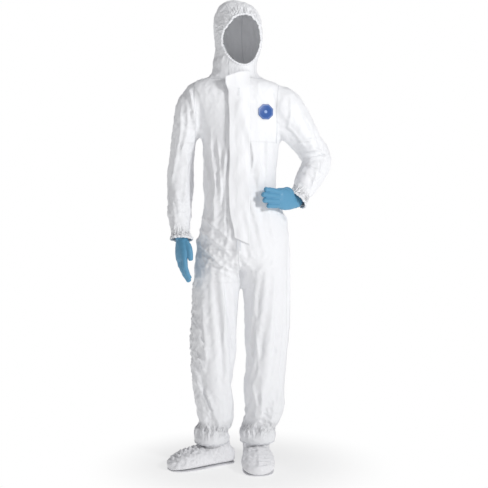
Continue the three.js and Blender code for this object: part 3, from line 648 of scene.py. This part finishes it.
def limb_frame(point, direction):
    """Distance up a limb from its end, and the angle round it, for every vertex of the coverall."""
    axis = -np.array(direction, float) / np.linalg.norm(direction)
    side = np.cross(axis, (0.0, 1.0, 0.0))
    side /= np.linalg.norm(side)
    front = np.cross(axis, side)
    d = base - np.array(point, float)
    return d @ axis, np.arctan2(d @ front, d @ side), np.linalg.norm(d, axis=1)


# Gathers, where an elastic draws the fabric in. push is the height in mm of every vertex over the draped
# cloth; pleat and pleat_depth are finer folds for the material.
push = np.zeros(len(base))
pleat = np.zeros(len(base))
pleat_depth = np.zeros(len(base))
uneven = waves(base, 38, 3, 2)


def gather(mine, reach, folds, fine, share=1.0):
    """Adds folds in mm, and the fine pleats' angle, as far as reach goes from 0 to 1."""
    push[:] += reach * folds
    pleat[mine] = np.sin(fine)[mine]
    np.maximum(pleat_depth, reach * share, out=pleat_depth)


for point, direction, side in CUFFS:
    up, angle, away = limb_frame(point, direction)
    mine = (away < 95) & (X * side > 162)
    reach = np.where(mine, ease(1 - np.abs(up - 14) / 46), 0)
    gather(mine, reach, 2.6 * np.sin(15 * angle + 3.5 * uneven), 34 * angle + 5 * uneven)
for (x, y), side in (((-88, 18), -1), ((58, 31), 1)):
    angle = np.arctan2(Y - y, X - x)
    mine = (X * side > -25) & (Z < 300)
    reach = np.where(mine, ease(1 - np.abs(Z - 203) / 52), 0)
    gather(mine, reach, 4.2 * np.sin(17 * angle + 4 * uneven + Z / 40), 40 * angle + 6 * uneven, 0.9)
# the elastic across the back of the waist
mine = (Y > 15) & (np.abs(X) < 162) & (np.abs(Z - WAIST) < 60)
reach = np.where(mine, ease(1 - np.abs(Z - WAIST) / 58) * ease((Y - 15) / 50), 0)
gather(mine, reach, 3.0 * np.sin(X / 5.2 + 3 * uneven) - 3.5, X / 2.4 + 5 * uneven, 0.9)
# round the face, strongest over the forehead
u, v, depth = FACE_FRAME.arrays(row(base))
angle, out = np.arctan2(v, u), np.hypot(u, v)
mine = (depth > 0) & (Z > 1500)
reach = np.where(mine, ease(1 - (out - 1) / 0.75) * (out > 0.9), 0)
reach *= 0.25 + 0.75 * ease((np.sin(angle + 0.35) + 0.45) / 0.8)
folds = 1.6 * np.sin(23 * angle + 3 * uneven) + 1.2 * np.sin(11 * angle + 5 * uneven)
gather(mine, reach, folds, 47 * angle + 5 * uneven)
crumple = waves(base * np.array([1, 1, 0.6]), 60, 1, 3)
edge_free = ease((Z - HEM) / 60)
push += 2.2 * crumple * edge_free
set_coordinates(coverall, coordinates(coverall) + normals(coverall) * push[:, None] / 1000)

rumple = 0.16 + np.zeros(len(base))
for centre, reach, amount in RUMPLES:
    d = (base - np.array(centre, float)) / np.array(reach, float)
    rumple += amount * np.exp(-(d * d).sum(1))
rumple = np.clip(rumple, 0, 1) * edge_free


def creases(slant, size, seed):
    """Sharp creases that run at a slant, in degrees from upright across the front, from 0 to 1."""
    c, s = math.cos(math.radians(slant)), math.sin(math.radians(slant))
    turned = np.stack([X * c - Z * s, Y * 0.8, (X * s + Z * c) * 0.3], 1)
    return np.clip(1 - 3.2 * np.abs(waves(turned, size, seed, 2)), 0, 1) ** 1.6


# Crisp small creases: strongest on the wearer's right leg, the hips and the right sleeve
push = rumple * (
    7.0 * np.maximum(creases(38, 44, 21), creases(-42, 40, 22))
    + 3.0 * np.maximum(creases(62, 24, 23), creases(-20, 22, 24))
    - 4.5
)
# Long folds: down the chest, the sleeves and the legs, and slanting from the hip to the crotch
facing = normals(coverall)[:, 1] < 0.1
for x0, z0, x1, z1, wide, height in FOLDS:
    dx, dz = x1 - x0, z1 - z0
    far = math.hypot(dx, dz)
    t = ((X - x0) * dx + (Z - z0) * dz) / far / far
    along = np.stack([np.zeros_like(X), np.full_like(X, x0), Z], 1)
    bow = 6 * np.sin(math.pi * t) + 7 * waves(along, 90, 31, 1)
    off = ((X - x0) * dz - (Z - z0) * dx) / far + bow
    ends = ease(t / 0.25) * ease((1 - t) / 0.25)
    crest = np.exp(-np.abs(off) / wide) * 1.3 - 0.45 * np.exp(-((off / (2.6 * wide)) ** 2))
    push += np.where(facing, FOLD_HEIGHT * height * crest * ends, 0)
flat_zip = ease((np.abs(X - ZIP_X) - 14) / 30)
push *= np.where((Z > 880) & (Z < 1540) & (Y < 0), flat_zip, 1)
set_coordinates(coverall, coordinates(coverall) + normals(coverall) * push[:, None] / 1000)
set_number(coverall, "rumple", rumple)

# Seams: how far every vertex is from each of them, in mm
across = (X - NECK[0]) * math.cos(HEAD_TURN) + (Y - NECK[1]) * math.sin(HEAD_TURN) - 8
FAR = 60.0  # where a seam doesn't run
in_hood = Z > 1490
arms = (Z > 1262) & ~in_hood
set_number(coverall, "armhole", np.where(arms, np.where(X < 0, X + 172, X - 135), FAR))
set_number(coverall, "crown", np.where(in_hood, np.abs(across) - 50, FAR))
set_number(coverall, "neck", Z - 1488)
on_sleeve = (X > 137) & (Z > 1000) | (X < -166) & (Z > 880)
set_number(coverall, "side", np.where(in_hood | on_sleeve | (np.abs(X) < 60), FAR, Y - SEAM_Y))
middle_seam = (Z > 760) & (Z < 875) | (Z > 760) & (Y > 40) & ~in_hood
set_number(coverall, "rise", np.where(middle_seam, X - ZIP_X, FAR))
set_number(coverall, "pleat", pleat)
set_number(coverall, "pleat_depth", pleat_depth)

# ---------- free edges: elastics and bindings
def edge_loops(obj):
    """Every open edge of a mesh, as an ordered list of its vertices."""
    bm = bmesh.new()
    bm.from_mesh(obj.data)
    loops, seen = [], set()
    for start in bm.verts:
        if start.index in seen or not start.is_boundary:
            continue
        loop, here = [], start
        while here is not None:
            seen.add(here.index)
            loop.append(here.index)
            ahead = [e.other_vert(here) for e in here.link_edges if e.is_boundary]
            here = next((n for n in ahead if n.index not in seen), None)
        if len(loop) > 20:
            loops.append(loop)
    bm.free()
    return loops


def evened(points, count, relax=2):
    """A closed line of points, respaced evenly and smoothed."""
    closed = np.vstack([points, points[:1]])
    far = np.concatenate([[0], np.cumsum(np.linalg.norm(np.diff(closed, axis=0), axis=1))])
    at = np.linspace(0, far[-1], count, endpoint=False)
    line = np.stack([np.interp(at, far, closed[:, k]) for k in range(3)], 1)
    for _ in range(relax):
        line = (np.roll(line, 1, 0) + 2 * line + np.roll(line, -1, 0)) / 4
    return line


def band(name, line, wide, thin, radial, folds, rise):
    """A flat elastic along a closed line. Its width lies across the opening if radial, or else along it."""
    count = len(line)
    centre = line.mean(0)
    along = np.roll(line, -1, 0) - np.roll(line, 1, 0)
    along /= np.linalg.norm(along, axis=1)[:, None]
    out = line - centre
    out -= along * (out * along).sum(1)[:, None]
    out /= np.linalg.norm(out, axis=1)[:, None]
    axis = np.cross(along, out)
    width, depth_way = (out, axis) if radial else (axis, out)
    cx, cy = superellipse(3, 12)
    t = np.arange(count) / count * 2 * np.pi
    wobble = rise * np.sin(folds * t + 2 * np.sin(3 * t))
    rings = []
    for i in range(count):
        middle = line[i] + depth_way[i] * wobble[i]
        swell = 1 + 0.18 * math.sin(folds * t[i] + 1)
        flat = np.outer(cx * wide / 2 * swell, width[i])
        rings.append(middle + flat + np.outer(cy * thin / 2, depth_way[i]))
    return new_object(name, np.vstack(rings), loft_faces(count, 12, False, endless=True))


points = coordinates(coverall)
EDGE_OF = {}
for loop in edge_loops(coverall):
    x, _, z = base[loop].mean(0)
    side = "right" if x < 0 else "left"
    EDGE_OF["face" if z > 1500 else side + ("_cuff" if z > 600 else "_hem")] = points[loop]

binding = band("face_binding", evened(EDGE_OF["face"], 260), 0.008, 0.0032, True, 52, 0.0008)
finish(binding, ELASTIC, ["hood_face_elastic"], body="hood")
for side in ("right", "left"):
    cuff = band(side + "_cuff_band", evened(EDGE_OF[side + "_cuff"], 150), 0.009, 0.003, False, 22, 0.0011)
    finish(cuff, ELASTIC, [side + "_cuff_elastic"], body=side + "_forearm")
    hem = band(side + "_hem_band", evened(EDGE_OF[side + "_hem"], 170), 0.007, 0.0028, False, 18, 0.0012)
    finish(hem, FABRIC, [side + "_ankle_elastic"], body=side + "_shin")

# ---------- the coverall's pieces
# Each piece: its flat size before it was sewn up and draped, width and length in metres; the bodies it
# joins and where its bend starts and ends, in table millimetres; and the nodes it stands for.
TORSO_NODES = ["front_panel_right", "front_panel_left", "back_panel_right", "back_panel_left"]
TORSO_NODES += ["waist_elastic", "crotch_gusset"]
HOOD_NODES = ["hood_centre_panel", "hood_side_right", "hood_side_left"]
PIECES = {
    "torso": ((0.90, 0.62), None, TORSO_NODES),
    "hood": ((0.50, 0.33), ("torso", "hood", (-26, 14, 1486), (-26, 14, 1556)), HOOD_NODES),
}


LIMB_PARTS = {
    "upper": ("torso", "upper_arm", ["upper_sleeve"]),
    "lower": ("upper_arm", "forearm", ["lower_sleeve"]),
    "thigh": ("torso", "thigh", ["upper_leg_front", "upper_leg_back"]),
    "shin": ("thigh", "shin", ["lower_leg_front", "lower_leg_back"]),
}
for name, flat, start, end in (
    ("right_upper", (0.36, 0.20), (-162, 6, 1330), (-205, 6, 1245)),
    ("left_upper", (0.42, 0.22), (140, 6, 1335), (188, 42, 1258)),
    ("right_lower", (0.33, 0.32), (-218, 40, 1185), (-218, 36, 1055)),
    ("left_lower", (0.35, 0.30), (281, 128, 1232), (288, 112, 1140)),
    ("right_thigh", (0.60, 0.26), (0, 8, 790), (-90, 8, 680)),
    ("left_thigh", (0.58, 0.26), (4, 8, 790), (94, 8, 680)),
    ("right_shin", (0.52, 0.46), (-98, -5, 588), (-98, -5, 372)),
    ("left_shin", (0.50, 0.46), (90, -8, 588), (90, -8, 372)),
):
    side, part = name.split("_")
    inner, outer, nodes = LIMB_PARTS[part]
    inner = inner if inner == "torso" else f"{side}_{inner}"
    PIECES[name] = (flat, (inner, f"{side}_{outer}", start, end), [f"{side}_{node}" for node in nodes])


def past_bend(piece, b):
    """Which of the points b lie beyond the place where a piece starts to bend."""
    start, end = (np.array(p, float) for p in PIECES[piece][1][2:])
    return (b - start) @ (end - start) > 0


def region_of(b):
    """The piece of the coverall that a face belongs to, by the middle of the face before draping."""
    x, y, z = b.T
    names = np.full(len(b), "torso", object)
    low = z < 940
    names[low & past_bend("right_thigh", b) & (x < 2)] = "right_thigh"
    names[low & past_bend("left_thigh", b) & (x >= 2)] = "left_thigh"
    names[(z < 592) & (x < 0)] = "right_shin"
    names[(z < 592) & (x >= 0)] = "left_shin"
    inner = np.where(z > 1270, -168, np.where(z > 985, -159, -174))
    right_arm = (x < inner) & (z > 885) & (z < 1490) & ((z > 985) | (x < -178))
    names[right_arm] = "right_upper"
    names[right_arm & (z < 1215)] = "right_lower"
    inner = np.where(z > 1235, 137, 166)
    left_arm = ((x > inner) & (z > 1030) | (x > 176) & (z > 990)) & (z < 1490)
    upper = np.array([139.0, 119.0, -174.0])
    past = (b - (np.array([145.0, 6.0, 1380.0]) + 0.6 * upper)) @ upper > 0
    names[left_arm] = "left_upper"
    names[left_arm & past] = "left_lower"
    names[z > 1487] = "hood"
    return names


mesh = coverall.data
whole_normals = normals(coverall)
loops_of = np.array([list(p.vertices) for p in mesh.polygons])
names = region_of(base[loops_of].mean(1))
numbers = {name: read_number(mesh, name) for name in SEAMS + ("pleat", "pleat_depth", "rumple")}
for piece, (flat, bend, nodes) in PIECES.items():
    mine = loops_of[names == piece]
    used = np.unique(mine)
    place = np.full(len(points), -1)
    place[used] = np.arange(len(used))
    obj = new_object(piece + "_cloth", points[used], place[mine])
    for name, values in numbers.items():
        set_number(obj, name, values[used])
    obj.data.normals_split_custom_set_from_vertices([tuple(n) for n in whole_normals[used]])
    finish(obj, FABRIC, nodes, body=None if bend else "torso", bend=bend)
surface = BVHTree.FromPolygons([tuple(p) for p in points], [tuple(q) for q in loops_of])
bpy.data.objects.remove(coverall)


# ---------- storm flap, strip and badge
def cloth_front(x, z):
    """The front of the draped coverall at x and z, in metres, and the way it faces."""
    hit, normal, _, _ = surface.ray_cast(Vector((x, -0.6, z)), Vector((0, 1, 0)))
    if hit is None:
        return -0.12, Vector((0, -1, 0))
    return hit.y, normal if normal.y < 0 else -normal


FLAP = {"free": -43.0, "fixed": 32.0, "low": 890.0, "high": 1514.0}


def build_flap():
    """A doubled strip of fabric over the zip, sewn on at the wearer's left and free at the right."""
    columns, rows = 24, 200
    grid = []
    for k in range(rows):
        t = k / (rows - 1)
        z_mm = FLAP["low"] + (FLAP["high"] - FLAP["low"]) * t
        top = ease((z_mm - 1430) / 70)
        bottom = ease((1060 - z_mm) / 175)
        free = FLAP["free"] - 13 * top + 17 * bottom
        free += 1.6 * math.sin(z_mm / 61) + 1.1 * math.sin(z_mm / 23)
        for i in range(columns):
            s = i / (columns - 1)
            x_mm = free + (FLAP["fixed"] - free) * s
            # the lower corner is rounded off, and the upper edge falls towards the free side
            z_here = z_mm + 26 * bottom * (1 - s) * (1 - t) - 26 * top * (1 - s) ** 1.5
            x, _, z = row((x_mm, 0, z_here))
            slider = math.exp(-(((z_here - 1438) / 26) ** 2))
            smooth = row((0, front_at(z_here) - 3.5 - 6 * slider, 0))[1]
            on_cloth = cloth_front(x, z)[0] - 0.0018
            near = min(on_cloth, smooth + 0.004)
            y = near + (on_cloth - near) * ease((s - 0.4) / 0.6)
            lift = (1 - s) ** 2 * (0.002 + 0.002 * math.sin(z_mm / 47) + 0.014 * top)
            wave = 0.0013 * math.sin(z_mm / 37 + 4 * s) + 0.0009 * math.sin(z_mm / 15 - 5 * s)
            grid.append((x, y - lift - wave * math.sin(math.pi * min(s * 1.1, 1)), z))
    grid = np.array(grid).reshape(rows, columns, 3)
    for _ in range(4):
        inner = (grid[:-2, :, 1] + 2 * grid[1:-1, :, 1] + grid[2:, :, 1]) / 4
        grid[1:-1, :, 1] = np.minimum(inner, grid[1:-1, :, 1] + 0.0006)
    faces = loft_faces(rows, columns, False, False)
    return new_object("storm_flap_cloth", grid.reshape(-1, 3), faces), grid


flap, flap_grid = build_flap()
thick = flap.modifiers.new("thick", "SOLIDIFY")
thick.thickness, thick.offset = 0.0014, 1
apply_modifiers(flap)
finish(flap, FLAP_FABRIC, ["storm_flap"], body="flap")

strip_grid = flap_grid[8:-20, 2:5].copy()
strip_grid[..., 1] += 0.0018
strip_faces = loft_faces(*strip_grid.shape[:2], False, False)
strip = new_object("adhesive_strip", strip_grid.reshape(-1, 3), strip_faces)
finish(strip, TAPE, ["flap_adhesive_strip"], body="flap")

BADGE_AT = (89.0, 1366.0)
BADGE_HALF = 26.5


def badge_part(name, inner, outer, lift):
    """An octagonal ring or disc on the draped chest. Sizes are shares of the badge's half width."""
    rings, sides = 9, 64
    vertices = []
    for r in np.linspace(inner, outer, rings):
        for i in range(sides):
            a = i / sides * 2 * math.pi
            eighth = (a + math.pi / 8) % (math.pi / 4) - math.pi / 8
            reach = BADGE_HALF * r / math.cos(eighth)
            x, _, z = row((BADGE_AT[0] + reach * math.cos(a), 0, BADGE_AT[1] + reach * math.sin(a)))
            y, _ = cloth_front(x, z)
            vertices.append((x, y - lift, z))
    vertices = np.array(vertices)
    faces = loft_faces(rings, sides, False)
    # a stiff badge smooths out the cloth's small creases
    x, y, z = vertices.T
    terms = np.stack([np.ones_like(x), x, z, x * x, x * z, z * z], 1)
    share, *_ = np.linalg.lstsq(terms, y, rcond=None)
    vertices[:, 1] = terms @ share - 0.001
    return new_object(name, vertices, faces)


finish(badge_part("badge_disc", 0.001, 1.0, 0.0022), BADGE, ["chest_badge"], "torso")
finish(badge_part("badge_ring", 0.84, 0.89, 0.0028), BADGE_MARK, body="torso")
finish(badge_part("badge_dot", 0.001, 0.20, 0.0028), BADGE_MARK, body="torso")

# The zip is the CAD's own, with its materials
ZIP_TAPES = ["zip_tape_right", "zip_tape_left"]
ZIP_PARTS = ["zip_teeth_right", "zip_teeth_left", "zip_bottom_stop", "zip_top_stop"]
ZIP_PARTS += ["zip_slider", "zip_pull_pin", "zip_pull_tab"]
for name in ZIP_TAPES + ZIP_PARTS:
    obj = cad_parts[name]
    obj.data.materials.clear()
    obj.data.materials.append(TAPE if name in ZIP_TAPES else ZIP)

# ---------- gloves
HAND_SIZE = 0.9
# From index to little: root across the palm and along it, lengths of the three bones and radius, in mm.
FINGERS = [
    (27, 86, (40, 25, 21), 9.6),
    (9, 90, (44, 28, 21), 9.8),
    (-9, 87, (40, 26, 21), 9.4),
    (-26, 80, (31, 20, 19), 8.6),
]
# Palm sections: distance from the wrist, half width, half depth.
PALM = [
    (-44, 24, 23), (-22, 25, 23), (-4, 28, 23), (16, 33, 20), (40, 40, 19), (66, 42, 17),
    (88, 38, 14), (98, 31, 10),
]
# Elbow and wrist in table millimetres, how far past the wrist the hand starts, where the fingers and the
# thumb point, and each finger's bends at its knuckles and its spread to the thumb side, in radians.
HANDS = {
    "right": {
        "elbow": (-218, 40, 1120),
        "wrist": (-217, -28, 915),
        "reach": 4,
        "fingers": (0.0, -0.26, -1),
        "thumb_side": (0.5, -0.86, 0),
        "curl": -1,
        "bends": [
            ((0.1, 0.24, 0.18), -0.02),
            ((0.15, 0.28, 0.2), -0.015),
            ((0.2, 0.3, 0.2), 0.005),
            ((0.25, 0.32, 0.22), 0.03),
        ],
        "thumb": (46, 14, 44, 18),
    },
    "left": {
        "elbow": (284, 125, 1206),
        "wrist": (210, -18, 1062),
        "reach": 24,
        "fingers": (-0.77, -0.66, 0.1),
        "thumb_side": (0.1, 0.05, 0.98),
        "curl": 1,
        "bends": [
            ((-0.04, 0.05, 0.05), 0.04),
            ((-0.04, 0.05, 0.05), 0.0),
            ((-0.04, 0.05, 0.05), -0.05),
            ((-0.04, 0.06, 0.06), -0.11),
        ],
        "thumb": (34, 12, 32, 13),
    },
}


def unit(v):
    v = np.array(v, float)
    return v / np.linalg.norm(v)


def hand_rings(stations, sides=22, power=2.0, steps=26):
    return path_rings([(*at, wide, deep) for at, wide, deep in stations], steps, power, sides)


def build_glove(side):
    hand = HANDS[side]
    z = unit(hand["fingers"])
    x = np.array(hand["thumb_side"], float)
    x = unit(x - z * (x @ z))
    turn_hand = np.stack([x, np.cross(z, x), z], 1)
    down = unit(np.array(hand["wrist"], float) - np.array(hand["elbow"], float))
    origin = np.array(hand["wrist"], float) + down * hand["reach"]
    forearm = turn_hand.T @ down
    curl = hand["curl"]
    palm = [((forearm * s if s < 0 else np.array([0, curl, s])), w, d) for s, w, d in PALM]
    x1, y1, x2, y2 = hand["thumb"]
    thumb = [((20, 5 * curl, 22), 15, 14), ((38, 10 * curl, 42), 13, 12), ((x1, y1 * curl, 66), 11.2, 10.8)]
    thumb += [((x2, y2 * curl, 92), 10.0, 9.4), ((x2, (y2 + 1) * curl, 100), 6.5, 6.5)]
    shapes = [hand_rings(palm, 40, 2.3, 40), hand_rings(thumb)]
    for (fx, fz, bones, radius), (bend, spread) in zip(FINGERS, hand["bends"]):
        at, angle = np.array([fx, 0.0, fz]), 0.0
        stations = [(at - [0, 0, 22], radius * 1.1, radius + 1), (at.copy(), radius * 1.1, radius * 1.05)]
        for i, bone in enumerate(bones):
            angle += bend[i]
            along = unit((math.sin(spread), curl * math.sin(angle), math.cos(angle)))
            knuckle = 1.12 - 0.05 * (i + 1)
            stations.append((at + along * bone * 0.5, radius * knuckle * 0.97, radius * knuckle * 0.97))
            at = at + along * bone
            stations.append((at.copy(), radius * knuckle, radius * knuckle))
        stations.append((at + along * 5, radius * 0.55, radius * 0.55))
        shapes.append(hand_rings(stations, steps=36))
    parts = []
    for i, rings in enumerate(shapes):
        placed = origin + (rings.reshape(-1, 3) * HAND_SIZE) @ turn_hand.T
        parts.append(closed_loft(side + str(i), placed.reshape(rings.shape)))
    glove = melt(parts, side + "_glove_skin", 0.0022, 3)
    co = coordinates(glove)
    mm = table_mm(co)
    local = (mm - origin) @ turn_hand / HAND_SIZE
    bag = waves(mm, 16, 5, 3)
    sleeve_end = ease((30 - local[:, 2]) / 40)
    rumple = np.sin(local[:, 2] / 3.2 + 3 * waves(mm, 30, 7, 2)) * sleeve_end
    co = co + normals(glove) * ((0.9 + 0.55 * bag + 0.8 * rumple) / 1000)[:, None]
    set_coordinates(glove, co)
    glove.data.shade_smooth()
    finish(glove, NITRILE, [side + "_glove", side + "_glove_bead"], body=side + "_hand")


for side in HANDS:
    build_glove(side)

# ---------- overshoes, in the foot's own frame
FEET = {"right": ((-97, 18), (-86, -51)), "left": ((58, 33), (4, -100))}
# Sections of the foot: distance from the ankle, half width, height.
FOOT = [
    (-72, 14, 46), (-68, 30, 58), (-56, 40, 68), (-34, 46, 76), (8, 50, 80), (56, 55, 74),
    (102, 60, 68), (140, 58, 58), (166, 50, 47), (183, 36, 36), (192, 16, 22),
]
# Height, centre and half sizes of the overshoe's ankle.
ANKLE = [
    (30, 2, 0, 53, 44), (60, 2, 0, 56, 48), (86, 2, 0, 56, 49), (110, 2, 0, 51, 48),
    (128, 2, 0, 49, 46), (138, 2, 0, 49, 46),
]


def build_overshoe(side):
    (ax, ay), toe = FEET[side]
    direction = unit(toe)
    rings = []
    cx, cy = superellipse(2.5, 40)
    for x, wide, high in smooth_table(FOOT, 48):
        middle = high * 0.42
        up = np.where(cy > 0, (high - middle) * cy, (middle - 2.5) * cy)
        rings.append(np.stack([np.full(40, x), wide * cx, middle + up], 1))
    local = [np.array(rings), flat_rings(ANKLE, 26, 2.0, 40)]

    def place(p):
        x = ax + p[..., 0] * direction[0] - p[..., 1] * direction[1]
        y = ay + p[..., 0] * direction[1] + p[..., 1] * direction[0]
        return np.stack([x, y, p[..., 2] + GROUND], -1)

    parts = [closed_loft(side + str(i), place(p)) for i, p in enumerate(local)]
    shoe = melt(parts, side + "_overshoe_cloth", 0.0042, 5)
    co = coordinates(shoe)
    mm = table_mm(co)
    d = mm - np.array([ax, ay, GROUND])
    long = d[:, 0] * direction[0] + d[:, 1] * direction[1]
    wide = -d[:, 0] * direction[1] + d[:, 1] * direction[0]
    high = d[:, 2]
    free = ease((high - 8) / 22)
    # the instep seam stands up as a ridge, and the fabric is drawn to it in small folds
    ridge = np.exp(-((wide / 5.5) ** 2)) * ease((long + 10) / 60) * ease((high - 20) / 20)
    drawn = np.exp(-((wide / 34) ** 2)) * ease((long - 10) / 40) * free
    folds = np.sin(long / 2.7 + 2.5 * waves(mm, 40, 11, 2) + np.abs(wide) / 9)
    bag = waves(mm, 34, 13, 3)
    crisp = 1 - 2 * np.abs(waves(mm, 24, 17, 2))
    push = 5 * ridge + 5.0 * drawn * folds + free * (2.2 * bag + 4.0 * (crisp - 0.6) + 0.8)
    set_coordinates(shoe, co + normals(shoe) * (push / 1000)[:, None])
    bm = bmesh.new()
    bm.from_mesh(shoe.data)
    edge = Vector(row((0, 0, GROUND + 131)))
    geometry = bm.faces[:] + bm.edges[:] + bm.verts[:]
    bmesh.ops.bisect_plane(bm, geom=geometry, plane_co=edge, plane_no=(0, 0, 1), clear_outer=True)
    bm.to_mesh(shoe.data)
    bm.free()
    thick = shoe.modifiers.new("thick", "SOLIDIFY")
    thick.thickness, thick.offset = 0.0012, -1
    apply_modifiers(shoe)
    shoe.data.shade_smooth()
    covered = [side + "_overshoe", side + "_overshoe_instep_seam"]
    finish(shoe, SHOE_FABRIC, covered, body=side + "_foot")
    # the sole: a thin sheet under the foot
    outline = [(x, half * 0.94) for x, half, _ in smooth_table(FOOT, 40)]
    ring = outline + [(x, -w) for x, w in reversed(outline)]
    low = place(np.array([(x, w, 0.4) for x, w in ring]))
    top = place(np.array([(x, w * 1.02, 3.4) for x, w in ring]))
    sole = closed_loft(side + "_sole_sheet", np.array([low, top]))
    sole.data.shade_flat()
    finish(sole, SOLE, [side + "_overshoe_sole"], body=side + "_foot")
    a = np.arange(90) / 90 * 2 * np.pi
    rim = place(np.stack([2 + 48 * np.cos(a), 45 * np.sin(a), np.full(90, 129.0)], 1))
    elastic = band(side + "_shoe_elastic", row(rim), 0.008, 0.003, False, 20, 0.001)
    finish(elastic, ELASTIC, [side + "_overshoe_elastic"], body=side + "_foot")


for side in FEET:
    build_overshoe(side)

# ---------- stage, light and camera
CAMERA_FAR = 3750  # mm from the camera to the suit
VIEW_WIDTH = 1798.28  # mm across the picture at the suit
CAMERA_AT = Vector(row((0, -CAMERA_FAR, 1110)))
LOOK_AT = Vector(row((11, 0, 886)))


def stage_floor():
    """A pale floor that takes the suit's shadow and fades into the white background."""
    bpy.ops.mesh.primitive_plane_add(size=60, location=(0, 0, FLOOR - 0.001))
    floor = bpy.context.object
    floor.name = "floor"
    material, tree, shader = nodes_of("floor", (0.93, 0.93, 0.93), 0.9, 0.2)
    place = add(tree, "TexCoord", {}).outputs["Object"]
    length = add(tree, "VectorMath", {0: place}, operation="LENGTH").outputs["Value"]
    reach = {"To Min": 0.62, "From Min": 0.15, "From Max": 0.60, "Value": length}
    fade = add(tree, "MapRange", reach, interpolation_type="SMOOTHSTEP").outputs["Result"]
    glow = add(tree, "Emission", {"Strength": 1.0})
    mix = add(tree, "MixShader", {"Fac": fade, 1: shader.outputs[0], 2: glow.outputs[0]})
    connect(tree, tree.nodes["Material Output"], {"Surface": mix.outputs[0]})
    floor.data.materials.append(material)


def area_light(name, location, target, size, power):
    data = bpy.data.lights.new(name, "AREA")
    data.shape = "DISK"
    data.size, data.energy = size, power
    light = bpy.data.objects.new(name, data)
    scene.collection.objects.link(light)
    light.location = location
    light.rotation_euler = (Vector(target) - Vector(location)).to_track_quat("-Z", "Y").to_euler()


stage_floor()
area_light("key", (2.5, -2.75, 1.1), (0, 0, -0.45), 0.6, 80)
area_light("fill", (-3.0, -3.4, 0.4), (0, 0, -0.4), 2.5, 4)
area_light("top", (0.6, -0.3, 3.0), (0, 0, -0.4), 2.0, 13)
# A faint cool light from all round, and a white background behind the suit
scene.world = bpy.data.worlds.new("world")
scene.world.use_nodes = True
sky = scene.world.node_tree
dim = sky.nodes["Background"]
connect(sky, dim, {"Color": (0.965, 0.965, 1.0, 1), "Strength": 0.27})
white = add(sky, "Background", {"Color": (1, 1, 1, 1)})
seen = add(sky, "LightPath", {}).outputs["Is Camera Ray"]
either = add(sky, "MixShader", {"Fac": seen, 1: dim.outputs[0], 2: white.outputs[0]})
connect(sky, sky.nodes["World Output"], {"Surface": either.outputs[0]})

camera_data = bpy.data.cameras.new("camera")
camera = bpy.data.objects.new("camera", camera_data)
scene.collection.objects.link(camera)
scene.camera = camera
camera.location = CAMERA_AT
camera_data.sensor_width = 36
camera_data.lens = 36 * CAMERA_FAR / VIEW_WIDTH
camera.rotation_euler = (LOOK_AT - CAMERA_AT).to_track_quat("-Z", "Y").to_euler()
